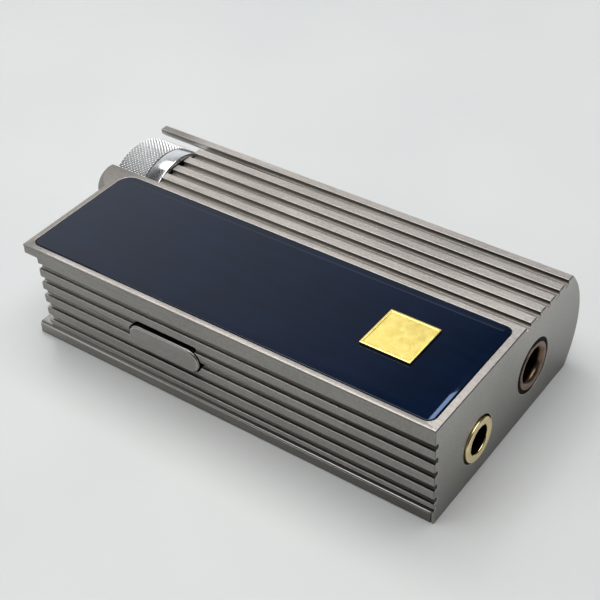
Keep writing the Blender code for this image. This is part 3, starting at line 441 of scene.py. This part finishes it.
# %% [markdown]
# ## Copies of the milled pieces
# A CAD node is loose triangles with knife edges. A copy is merged, flat neighbours are dissolved into whole
# faces, and a bevel then rounds each edge a little, as deburring does. Edges of a face too thin for that
# stay sharp. The bevel's own faces take the second material slot, so rubbed edges need no painting. Only on
# the base plate, whose whole chamfer carries a painted highlight, do they take the finish of their
# neighbours.

# %% Copy, merge and soften
FLAT_ANGLE, SHARP_ANGLE = 0.5, 32.0
MERGE, THIN_FACE, ROUND_STEPS, RUBBED_SLOT, NEIGHBOUR_SLOT = 0.002 * MM, 2.5, 2, 1, -1


def softened(node, name, finishes, width, smooth=True, edge_slot=RUBBED_SLOT):
    """A copy of a CAD node with rounded edges, which stands for it on the same body.

    A face's thickness is taken as twice its area over its outline, and edges of thinner faces stay sharp.
    """
    mesh = nodes[node].data.copy()
    mesh.name = name
    work = bmesh.new()
    work.from_mesh(mesh)
    bmesh.ops.remove_doubles(work, verts=work.verts, dist=MERGE)
    flat = np.radians(FLAT_ANGLE)
    bmesh.ops.dissolve_limit(work, angle_limit=flat, verts=work.verts, edges=work.edges)
    weight = work.edges.layers.float.new("bevel_weight_edge")
    for edge in work.edges:
        thinnest = min(2 * face.calc_area() / face.calc_perimeter() for face in edge.link_faces)
        sharp = edge.calc_face_angle(0) > np.radians(SHARP_ANGLE)
        edge[weight] = float(sharp and thinnest > THIN_FACE * width)
    work.to_mesh(mesh)
    work.free()
    mesh.materials.clear()
    for finish in finishes:
        mesh.materials.append(finish)
    mesh.polygons.foreach_set("material_index", np.zeros(len(mesh.polygons), np.int32))
    mesh.polygons.foreach_set("use_smooth", np.full(len(mesh.polygons), smooth))
    mesh.set_sharp_from_angle(angle=np.radians(SHARP_ANGLE))
    piece = put(name, mesh)
    deburr = piece.modifiers.new("deburr", "BEVEL")
    deburr.width, deburr.segments = width, ROUND_STEPS
    deburr.limit_method = "WEIGHT"
    deburr.use_clamp_overlap = False
    deburr.harden_normals = smooth
    deburr.material = edge_slot
    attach(piece, nodes[node]["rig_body"])
    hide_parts(node)
    print(name, len(mesh.polygons), "faces")
    return piece


# %% Shell, base plate and button
shell = softened("body_shell", "ribbed_shell", [blasted, rubbed], 0.07 * MM)
plate_finishes = [plate_grey, plate_edge_highlight]
base = softened("base_plate", "bottom_plate", plate_finishes, 0.17 * MM, False, NEIGHBOUR_SLOT)
button = softened("side_button", "push_button", [blasted, rubbed, pocket_shade], 0.06 * MM)

# %% [markdown]
# ## Finishes by face
# The shell is one piece of metal with many finishes, some of which are painted light and shade. Masks could
# be painted by hand, but where a face lies and which way it points already tell how it was worked and
# whether it is lit or in shade. So every face is sorted by its centre and normal, in millimetres, and the
# first rule that fits gives its finish.

# %% Centres, normals and slots
def of_faces(piece, what):
    """The centre or the normal of every face of a piece, one row each."""
    rows = np.empty((len(piece.data.polygons), 3))
    piece.data.polygons.foreach_get(what, rows.ravel())
    return rows


def paint(piece, choice):
    """Gives every face the material slot of its number."""
    piece.data.polygons.foreach_set("material_index", choice.astype(np.int32))


centre, normal = of_faces(shell, "center") / MM, of_faces(shell, "normal")
print(len(centre), "faces to sort")

# %% Sort the shell's faces
TOP_Z, NEAR_Y, SKIN = 15.5, cad_low.y / MM + 0.25, 0.05
GROOVE_DEPTH, TOP_STRIP, SEAM_TOP, SLOT_DEPTH, FIRST_SLOT_Y, END_DEPTH = 0.9, 1, 2.7, 0.8, 3, 1
POCKET_MARGIN, POCKET_DEPTH = 1, 4
# The part of a normal that lies along an axis, for a face square to it and for one that only leans
SQUARE, SLANT = 0.9, 0.5

x, y, z = centre.T
button_low, button_high = (np.array(end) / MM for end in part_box("side_button"))
past_low, past_high = centre > button_low - POCKET_MARGIN, centre < button_high + POCKET_MARGIN
by_button = (past_low & past_high)[:, [0, 2]].all(1)
inside, along_body = y > NEAR_Y + SKIN, np.abs(normal[:, 0]) < SLANT
near_groove = inside & (y < NEAR_Y + GROOVE_DEPTH) & along_body & (z < TOP_Z - TOP_STRIP)
on_top = z > TOP_Z - SLOT_DEPTH
# The pocket, groove walls, seam fade, slot walls, lighter top and socket end carry painted light and shade
rules = [
    (pocket_shade, by_button & inside & (y < NEAR_Y + POCKET_DEPTH)),
    (seam, near_groove & (z < SEAM_TOP)),
    (groove_light_shade, near_groove),
    (slot_wall_light_shade, on_top & (normal[:, 1] < -SQUARE) & (y > FIRST_SLOT_Y)),
    (belted_lit_top, on_top & (np.abs(normal[:, 2]) > SQUARE)),
    (faced, (x > cad_high.x / MM - END_DEPTH) & (np.abs(normal[:, 0]) > SQUARE)),
]
first_slot = len(shell.data.materials)
for finish, rule in rules:
    shell.data.materials.append(finish)
choice = np.select([rule for finish, rule in rules], range(first_slot, first_slot + len(rules)), 0)
paint(shell, choice)
print(dict(zip([finish.name for finish in shell.data.materials], np.bincount(choice).tolist())), "faces")

# %% Sort the button's and the base plate's faces
PLATE_SLANT, BUTTON_FLANK_SLOT = 0.4, 2

# The button's flank takes the pocket's painted shade
flank = np.abs(of_faces(button, "normal")[:, 1]) < SLANT
paint(button, BUTTON_FLANK_SLOT * flank)
facing = of_faces(base, "normal")
# The chamfer's faces take the painted highlight
chamfer = (facing[:, 1] < -PLATE_SLANT) & (facing[:, 2] > PLATE_SLANT)
paint(base, chamfer)
print(int(flank.sum()), "faces on the button's flank,", int(chamfer.sum()), "on the base plate's chamfer")

# %% [markdown]
# ## Volume knob
# The grip is cut by a diamond knurl: two families of V grooves run round it as right-hand and left-hand
# helices, and what they leave standing is a lattice of small pyramids. A bump map would not change the
# silhouette, so the knurl is real geometry, with the radius lowered by the nearer of the two grooves.

# %% Knurl
KNURLS, KNURL_DEPTH, GROOVE_SAMPLES, TIP_FLAT, RUN_IN = 84, 0.26 * MM, 8, 1.6, 2.5
KNOB_TOP, KNOB_BEVEL, BACK_BEVEL, RING_GAP = 8.0 * MM, 0.4 * MM, 0.03 * MM, 0.25 * MM

knob_low, knob_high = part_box("volume_knob")
ring_low, ring_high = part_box("knob_ring")
front_x, spigot_x = knob_low.x, knob_high.x
grip_end = ring_low.x - RING_GAP
pitch = 2 * np.pi * KNOB_TOP / KNURLS
knob_steps = KNURLS * GROOVE_SAMPLES
band_rows = int(round((grip_end - front_x - KNOB_BEVEL - BACK_BEVEL) / pitch * GROOVE_SAMPLES))
band_x = np.linspace(front_x + KNOB_BEVEL, grip_end - BACK_BEVEL, band_rows + 1)
angle = np.linspace(0, 2 * np.pi, knob_steps, endpoint=False)
around, along = np.meshgrid(angle * KNURLS / (2 * np.pi), (band_x - band_x[0]) / pitch)


def groove(phase):
    """Height across one V groove: 0 at its bottom, rising straight to 1 midway to the next groove."""
    return 1 - np.abs(2 * (phase % 1) - 1)


knurl = np.minimum(1, TIP_FLAT * np.minimum(groove(around + along), groove(around - along)))
band_r = KNOB_TOP - KNURL_DEPTH * (1 - knurl * np.minimum(1, RUN_IN * along))
print(KNURLS, "knurls,", round(pitch / MM, 2), "mm apart")

# %% [markdown]
# The grip's front is a shallow dish with a rounded rim, and behind it a spigot carries the ring. Both are
# profiles, turned about the knob's axis and joined to the knurled band, so the knob is one grid of points
# from the middle of its face to the bottom of its bore. One function turns a profile, and another welds a
# grid into a closed mesh.

# %% Turning
def turned(profile, axis, steps):
    """Places along X and radii swept round an axis: Y and Z are the radius times cosine and sine."""
    angle = np.linspace(0, 2 * np.pi, steps, endpoint=False)
    x = np.repeat(profile[:, :1], steps, 1)
    y = axis[0] + profile[:, 1:] * np.cos(angle)
    z = axis[1] + profile[:, 1:] * np.sin(angle)
    return np.stack([x, y, z], -1)[None]


# %% Welding
WELD = 0.0005 * MM


def grid_piece(name, points, wrap_rows, body, finish, sharp, caps=False):
    """A mesh on one or more grids of points, by part, row and column.

    Columns always close, rows close if asked, and the first and last rows may be capped.
    """
    parts, rows, columns = points.shape[:3]
    index = np.arange(parts * rows * columns).reshape(parts, rows, columns)
    low = index if wrap_rows else index[:, :-1]
    high = np.roll(index, -1, 1) if wrap_rows else index[:, 1:]
    faces = np.stack([low, np.roll(low, -1, 2), np.roll(high, -1, 2), high], -1).reshape(-1, 4).tolist()
    if caps:
        faces += index[:, 0].tolist() + index[:, -1].tolist()
    mesh = bpy.data.meshes.new(name)
    mesh.from_pydata(points.reshape(-1, 3), [], faces)
    work = bmesh.new()
    work.from_mesh(mesh)
    bmesh.ops.remove_doubles(work, verts=work.verts, dist=WELD)
    bmesh.ops.recalc_face_normals(work, faces=work.faces)
    work.to_mesh(mesh)
    work.free()
    mesh.materials.append(finish)
    mesh.polygons.foreach_set("use_smooth", np.ones(len(mesh.polygons), bool))
    mesh.set_sharp_from_angle(angle=np.radians(sharp))
    piece = put(name, mesh)
    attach(piece, body)
    print(name, len(mesh.polygons), "faces")
    return piece


# %% Grip
DISH_R, DISH, BORE_STOP = 5.6 * MM, 0.4 * MM, 0.3 * MM
SPIGOT_R, HOLLOW_R, BORE_R = 7.15 * MM, 6.05 * MM, 2.3 * MM

valley = KNOB_TOP - KNURL_DEPTH
face_r, third = valley - KNOB_BEVEL, (grip_end - front_x) / 3
hollow_x, bore_x = grip_end - third, front_x + third - BORE_STOP

# Dish, its rounded rim, the flat face and the bevel up to the knurl
front = [
    (front_x + DISH, 0), (front_x + DISH, DISH_R - 0.3 * MM), (front_x + 0.8 * DISH, DISH_R),
    (front_x + 0.1 * DISH, DISH_R + 0.35 * MM), (front_x, DISH_R + 0.6 * MM), (front_x, face_r - 0.1 * MM),
    (front_x + 0.08 * MM, face_r + 0.08 * MM), (front_x + 0.8 * KNOB_BEVEL, valley - 0.06 * MM),
]
# Back face, spigot, hollow and the bore for the shaft
rear = [
    (grip_end, valley - 0.02 * MM), (grip_end, SPIGOT_R), (spigot_x, SPIGOT_R), (spigot_x, HOLLOW_R),
    (hollow_x, HOLLOW_R), (hollow_x, BORE_R), (bore_x, BORE_R), (bore_x, 0),
]
band_y, band_z = KNOB_AXIS[0] + band_r * np.cos(angle), KNOB_AXIS[1] + band_r * np.sin(angle)
band = np.stack([np.broadcast_to(band_x[:, None], band_r.shape), band_y, band_z], -1)[None]
rows = [turned(np.array(front), KNOB_AXIS, knob_steps), band, turned(np.array(rear), KNOB_AXIS, knob_steps)]
knob = grid_piece("knurled_knob", np.concatenate(rows, 1), False, "knob", chrome, sharp=40)
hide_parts("volume_knob")

# %% Crown of the knurl
TOUCH = 0.01 * MM

spots = np.empty((len(knob.data.vertices), 3))
knob.data.vertices.foreach_get("co", spots.ravel())
reach = np.hypot(spots[:, 1] - KNOB_AXIS[0], spots[:, 2] - KNOB_AXIS[1])
on_band = (spots[:, 0] > band_x[0] - TOUCH) & (reach > valley - TOUCH)
crown = np.where(on_band, (reach - valley) / KNURL_DEPTH, 1.0)
knob.data.attributes.new("crown", "FLOAT", "POINT").data.foreach_set("value", crown)
print(int(on_band.sum()), "points on the knurl")

# %% [markdown]
# ## Polished ring
# Behind the grip sits a plain ring, polished to a mirror. A plain tube would have knife edges, which a
# mirror shows at once, so the ring is one closed outline with rounded corners, turned about the same axis.
# It reaches a little further back than its node, which closes the gap to the ribs. One function rounds the
# corners of an outline, and it serves all the pieces that follow.

# %% Rounding
ARC_STEPS = 6


def rounded(corners, radii, steps=ARC_STEPS):
    """Each corner of a closed outline becomes an arc.

    The arc's centre lies on the corner's bisector, at the radius over the sine of half the angle, and its
    points swing evenly between the two tangent points.
    """
    corners, radii = np.asarray(corners, float), np.broadcast_to(radii, len(corners)).astype(float)[:, None]
    back, ahead = np.roll(corners, 1, 0) - corners, np.roll(corners, -1, 0) - corners
    back /= np.linalg.norm(back, axis=1, keepdims=True)
    ahead /= np.linalg.norm(ahead, axis=1, keepdims=True)
    angle = np.arccos(np.clip((back * ahead).sum(1, keepdims=True), -1, 1))
    bisector = (back + ahead) / np.linalg.norm(back + ahead, axis=1, keepdims=True)
    centre = corners + bisector * radii / np.sin(angle / 2)
    first = corners + back * radii / np.tan(angle / 2) - centre
    last = corners + ahead * radii / np.tan(angle / 2) - centre
    swing, share = np.pi - angle, np.linspace(0, 1, steps + 1)[None, :, None]
    first_part = np.sin((1 - share) * swing[:, None]) * first[:, None]
    last_part = np.sin(share * swing[:, None]) * last[:, None]
    return (centre[:, None] + (first_part + last_part) / np.sin(swing)[:, None]).reshape(-1, 2)


print(len(rounded([(0, 0), (1, 0), (1, 1), (0, 1)], 0.2)), "points round a square with rounded corners")

# %% Ring
RING_STEPS, RING_R, RING_WALL, RING_REACH = 192, 7.95 * MM, 0.6 * MM, 0.35 * MM
RING_ROUNDS = np.array([0.05, 0.05, 0.15, 0.04]) * MM

ring_bore, ring_end = RING_R - RING_WALL, ring_high.x + RING_REACH
corners = [(ring_low.x, ring_bore), (ring_end, ring_bore), (ring_end, RING_R), (ring_low.x, RING_R)]
hoop = turned(rounded(corners, RING_ROUNDS), KNOB_AXIS, RING_STEPS)
ring = grid_piece("polished_ring", hoop, True, "knob", mirror, sharp=60)
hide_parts("knob_ring")

# %% [markdown]
# ## Socket rings
# The small socket has a gold ring that stands a little proud of the end face. The large one has a bronze
# ring whose mouth opens like a funnel, standing a little proud of a black collar. All three are closed
# outlines with rounded lips, turned about the socket's axis. Only the mouth of a bore is plated, and
# further in it is dark.

# %% One socket ring
SOCKET_STEPS, BACK_ROUND = 128, 0.04 * MM


def socket_ring(node, name, finish, axis, sizes):
    """A turned ring as long as its node and what it stands proud of it, its mouth rounded by two lips.

    The sizes, in mm, are the inner and outer radius, how far it stands proud, the radii of the inner and
    outer lip, and how deep the bore is plated. Further in, the bore takes the dark plastic of the socket.
    """
    inner, outer, proud, inner_lip, outer_lip, plated_depth = np.array(sizes) * MM
    low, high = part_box(node)
    mouth = high.x + proud
    plated_end = mouth - plated_depth
    corners = [(low.x, inner), (mouth, inner), (mouth, outer), (low.x, outer)]
    outline = rounded(corners, [BACK_ROUND, inner_lip, outer_lip, BACK_ROUND])
    outline = np.insert(outline, ARC_STEPS + 1, (plated_end, inner), 0)
    piece = grid_piece(name, turned(outline, axis, SOCKET_STEPS), True, "housing", finish, sharp=60)
    piece.data.materials.append(black_plastic)
    centre = of_faces(piece, "center")
    reach = np.hypot(centre[:, 1] - axis[0], centre[:, 2] - axis[1])
    paint(piece, (reach < inner + TOUCH) & (centre[:, 0] < plated_end))
    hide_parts(node)


# %% Gold ring, bronze ring and black collar
GOLD_SIZES = (2.0, 3.08, 0, 0.2, 0.18, 0.21)
BRONZE_SIZES = (2.4, 3.36, 0.5, 0.65, 0.08, 0.75)
COLLAR_SIZES = (3.39, 3.93, 0.1, 0.04, 0.08, 0.4)
socket_ring("jack_3_5_bush", "gold_socket_ring", gold, SMALL_AXIS, GOLD_SIZES)
socket_ring("jack_4_4_bush", "bronze_socket_ring", bronze, LARGE_AXIS, BRONZE_SIZES)
socket_ring("jack_4_4_collar", "black_socket_collar", black_plastic, LARGE_AXIS,
            COLLAR_SIZES)

# %% [markdown]
# ## Glass panel
# A flat box with a bevel would do for the glass, but not for what it reflects. So it is a stack of outlines,
# each a little higher and drawn further in, which gives it a ground edge and points to move. It falls away
# slightly at the socket end, where it picks up a streak of light, and a step of 0.016 mm runs along its far
# border and shows as a fine line. Both are taken off the heights of the grid's points.

# %% Stacked outlines
GLASS_STEPS, GLASS_ROUNDS, LEAST_GLASS_ROUND = 10, np.array([1.05, 1.05, 1.05, 1.85]) * MM, 0.05 * MM
GLASS_LEVELS = [
    (0.05, -0.70), (0.0, -0.65), (0.0, -0.05), (0.005, -0.024), (0.015, -0.009), (0.03, -0.002),
    (0.05, 0.0), (0.16, 0.0), (0.36, 0.0), (0.56, 0.0), (0.76, 0.0), (0.91, 0.0), (0.94, 0.0), (1.04, 0.0),
    (1.07, 0.0), (1.3, 0.0), (2.0, 0.0),
]


def stacked(low, high, radii, least, steps, levels):
    """Rows of one rounded rectangle at several levels.

    Each level gives, in mm, how far the rectangle is drawn in and its height above the top of its box. The
    corners' radii shrink by what is drawn in, down to a least radius.
    """
    rows = []
    for inset, rise in np.array(levels) * MM:
        x0, y0, x1, y1 = low.x + inset, low.y + inset, high.x - inset, high.y - inset
        corners = [(x0, y0), (x1, y0), (x1, y1), (x0, y1)]
        outline = rounded(corners, np.maximum(radii - inset, least), steps)
        rows.append(np.column_stack([outline, np.full(len(outline), high.z + rise)]))
    return np.stack(rows)[None]


glass_low, glass_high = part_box("glass_panel")
sheet = stacked(glass_low, glass_high, GLASS_ROUNDS, LEAST_GLASS_ROUND, GLASS_STEPS, GLASS_LEVELS)
print(sheet.shape[1], "outlines of", sheet.shape[2], "points")

# %% Fall and step
FALL, FALL_REACH, FACE_DEPTH = 0.06 * MM, 1.3 * MM, 0.2 * MM
STEP, STEP_LINE, STEP_WIDTH = 0.016 * MM, 1.04 * MM, 0.1 * MM

upper = sheet[..., 2] > glass_high.z - FACE_DEPTH
toward_end = np.clip((sheet[..., 0] - glass_high.x + FALL_REACH) / FALL_REACH, 0, 1)
sheet[..., 2] -= FALL * toward_end**2 * upper
inset, rise = np.array(GLASS_LEVELS).T * MM
depth = STEP * np.clip((STEP_LINE - inset) / STEP_WIDTH, 0, 1) * (rise > -FACE_DEPTH)
# The first two corners lie on the near side, and the other two turn the step on and off along the far one
turn = np.linspace(0, 1, GLASS_STEPS + 1) ** 3
far_share = np.concatenate([np.zeros(2 * len(turn)), turn, turn[::-1]])
sheet[0, :, :, 2] -= depth[:, None] * far_share
glass = grid_piece("glass_top", sheet, False, "housing", navy_glass, sharp=40, caps=True)
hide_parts("glass_panel")

# %% [markdown]
# ## Badge
# On the glass lies a small gilt plate, plain, with a raised border round a sunk field. It is the same kind
# of stack. Its upright wall takes the black of the adhesive film as painted shade, a dark line along the
# plate in place of its gold reflection in the glass.

# %% Badge
BADGE_ROUND, LEAST_BADGE_ROUND, UPRIGHT = 0.12 * MM, 0.03 * MM, 0.3
BADGE_LEVELS = [
    (0.02, -0.30), (0.0, -0.28), (0.0, -0.07), (0.02, -0.03), (0.06, 0.0), (0.34, 0.0), (0.38, -0.02),
    (0.42, -0.06), (0.6, -0.06),
]

badge_low, badge_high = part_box("badge_plate")
plate = stacked(badge_low, badge_high, BADGE_ROUND, LEAST_BADGE_ROUND, ARC_STEPS, BADGE_LEVELS)
badge = grid_piece("gilt_badge", plate, False, "housing", gilt, sharp=40, caps=True)
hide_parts("badge_plate")
badge.data.materials.append(film_black)
# The upright wall: painted shade in the film's black
wall = np.abs(of_faces(badge, "normal")[:, 2]) < UPRIGHT
paint(badge, wall)
print(int(wall.sum()), "faces on the badge's wall")

# %% [markdown]
# ## USB-C socket
# A USB-C receptacle is a drawn steel shell, closed at the back, with a tongue down its middle that carries
# twelve gold contacts on each side, half a millimetre apart. The CAD node has a sharp mouth, so the shell is
# made again as a pill outline carried along X, its mouth rolled. The contacts are thin strips laid on the
# tongue, all in one mesh.

# %% Shell
USB_WALL, PILL_STEPS, LEAST_FLAT, LIP_POINTS = 0.3 * MM, 12, 0.001 * MM, 7

usb_low, usb_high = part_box("usb_c_shell")
usb_y, usb_z = (usb_low.y + usb_high.y) / 2, (usb_low.z + usb_high.z) / 2


def pill(inset):
    """A pill in Y and Z: a rectangle whose corner radius is half its height, drawn in by an inset."""
    half_y, half_z = (usb_high.y - usb_low.y) / 2 - inset, (usb_high.z - usb_low.z) / 2 - inset
    flat = [(-half_y, -half_z), (half_y, -half_z), (half_y, half_z), (-half_y, half_z)]
    return rounded(flat, half_z - LEAST_FLAT, PILL_STEPS) + (usb_y, usb_z)


roll = np.linspace(0, np.pi, LIP_POINTS)
lip_in, lip_x = USB_WALL / 2 * (1 - np.cos(roll)), usb_low.x + USB_WALL / 2 * (1 - np.sin(roll))
insets, places = np.append(lip_in, [USB_WALL, 0]), np.append(lip_x, [usb_high.x, usb_high.x])
loops = np.stack([np.column_stack([np.full(len(pill(i)), x), pill(i)]) for i, x in zip(insets, places)])
usb_shell = grid_piece("usb_c_receptacle", loops[None], True, "housing", nickel, sharp=50)
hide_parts("usb_c_shell")

# %% Contacts
CONTACTS, CONTACT_PITCH = 12, 0.5 * MM
HALF_LENGTH, HALF_WIDTH, CONTACT_ROUND, CONTACT_STEPS = 1.9 * MM, 0.13 * MM, 0.08 * MM, 3
CONTACT_X, CONTACT_LEVELS = 2.15 * MM, [0.33 * MM, 0.38 * MM]

tongue_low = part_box("usb_c_tongue")[0]
corners = np.array([(-1, -1), (1, -1), (1, 1), (-1, 1)]) * (HALF_LENGTH, HALF_WIDTH)
strip = rounded(corners, CONTACT_ROUND, CONTACT_STEPS)
side, column, level = np.meshgrid([-1, 1], np.arange(CONTACTS), CONTACT_LEVELS, indexing="ij")
strip_x = tongue_low.x + CONTACT_X + strip[:, 0]
strip_y = (usb_y + (column - (CONTACTS - 1) / 2) * CONTACT_PITCH)[..., None] + strip[:, 1]
strip_z = (usb_z + side * level)[..., None]
strips = np.stack(np.broadcast_arrays(strip_x, strip_y, strip_z), -1).reshape(-1, 2, len(strip), 3)
grid_piece("usb_c_contacts", strips, False, "housing", gold, sharp=40, caps=True)

# %% [markdown]
# ## Finishes of the nodes that stay
# The remaining CAD nodes are right as they are. A copy would add nothing, so they only change their
# material.

# %% Assign finishes
STAY = {
    black_plastic: ["jack_3_5_body", "jack_4_4_body", "usb_c_tongue", "switch_plunger", "attenuator_body"],
    nickel: ["attenuator_shaft", "attenuator_nut", "attenuator_washer", "switch_body", "shield_can",
             "base_screw_1", "base_screw_2", "base_screw_3", "base_screw_4"],
    epoxy: ["usb_bridge_chip", "dac_chip", "amp_chip_left", "amp_chip_right", "regulator_chip"],
    bare_aluminium: ["oscillator_1", "oscillator_2", "capacitor_1", "capacitor_2", "capacitor_3",
                     "capacitor_4"],
    ferrite: ["inductor_1", "inductor_2"],
    solder_mask: ["main_board", "switch_board"],
    film_black: ["glass_adhesive"],
}
for finish, names in STAY.items():
    for name in names:
        nodes[name].data.materials.clear()
        nodes[name].data.materials.append(finish)
print(sum(len(names) for names in STAY.values()), "nodes refinished")

# %% [markdown]
# ## Floor
# The object lies on a pale table. A plane with corners could show them in a low view, so the floor is a
# large disc. Its laminate is matte with a barely visible mottle.

# %% Floor
FLOOR_REACH, FLOOR_STEPS, MOTTLE = 3.0, 64, 60 * MM

around = np.linspace(0, 2 * np.pi, FLOOR_STEPS, endpoint=False)
rim = FLOOR_REACH * np.column_stack([np.cos(around), np.sin(around), np.zeros(FLOOR_STEPS)])
floor_mesh = bpy.data.meshes.new("table_top")
floor_mesh.from_pydata(rim, [], [list(range(FLOOR_STEPS))])
matte, tree, shader, place = start("matte_white_laminate", 0.0)
mottle = add(tree, "ShaderNodeTexNoise", {"Vector": place, "Scale": 1 / MOTTLE, "Detail": 3.0}).outputs[0]
vary(tree, shader, mottle, (0.3, 0.7), ("#C8CBCC", "#D0D2D2"), (0.55, 0.65))
floor_mesh.materials.append(matte)
floor = put("table_top", floor_mesh)
print("floor", 2 * FLOOR_REACH, "m across")

# %% [markdown]
# ## Light
# Glass and polished metal show the room, so the room matters as much as the lamps. The sky is bright only
# low on the side of the window and dark elsewhere, which keeps the glass deep. A large softbox overhead
# gives the soft shadow, a smaller one stands at the window and a third fills the near side. The fourth,
# small and bluish, is the streak in the glass.

# %% Sky
WINDOW_SIDE, SKY_START, SKY_FULL, SKY_DARK, SKY_BRIGHT = (-0.9, 0.3, -0.3), 0.31, 0.62, 0.06, 0.95

world = bpy.data.worlds.new("studio")
bpy.context.scene.world = world
world.use_nodes = True
sky = world.node_tree
direction = add(sky, "ShaderNodeTexCoord").outputs["Generated"]
both = {0: direction, 1: WINDOW_SIDE}
toward = add(sky, "ShaderNodeVectorMath", both, operation="DOT_PRODUCT").outputs["Value"]
ends = {"From Min": SKY_START, "From Max": SKY_FULL, "To Min": SKY_DARK, "To Max": SKY_BRIGHT}
strength = add(sky, "ShaderNodeMapRange", {"Value": toward, **ends}).outputs[0]
background = sky.nodes["Background"]
sky.links.new(strength, background.inputs["Strength"])
background.inputs["Color"].default_value = linear("#F4F7FA")
print("sky from", SKY_DARK, "to", SKY_BRIGHT)

# %% Softboxes
WHITE, SKY_BLUE, MIDDLE = "#FFFEFC", "#B0CCFF", (0, 0, 0)


def softbox(name, place, aim, size, power, colour):
    """A square area light at a place, turned to face a point."""
    data = bpy.data.lights.new(name, "AREA")
    data.shape, data.size, data.energy, data.color = "SQUARE", size, power, linear(colour)[:3]
    light = put(name, data)
    light.location = place
    light.rotation_mode = "QUATERNION"
    light.rotation_quaternion = Vector((0, 0, 1)).rotation_difference(Vector(place) - Vector(aim))


softbox("ceiling", (0.0, 0.05, 0.5), (0, 0.05, 0), size=0.55, power=3.1, colour=WHITE)
softbox("window", (-0.24, 0.15, 0.41), MIDDLE, size=0.16, power=0.3, colour=WHITE)
softbox("fill", (-0.22, -0.29, 0.28), MIDDLE, size=0.2, power=0.22, colour=WHITE)
softbox("skylight", (-0.098, 0.293, 0.386), MIDDLE, size=0.03, power=0.022, colour=SKY_BLUE)
bpy.context.scene.view_settings.view_transform = "Standard"
print(len(bpy.data.lights), "softboxes")
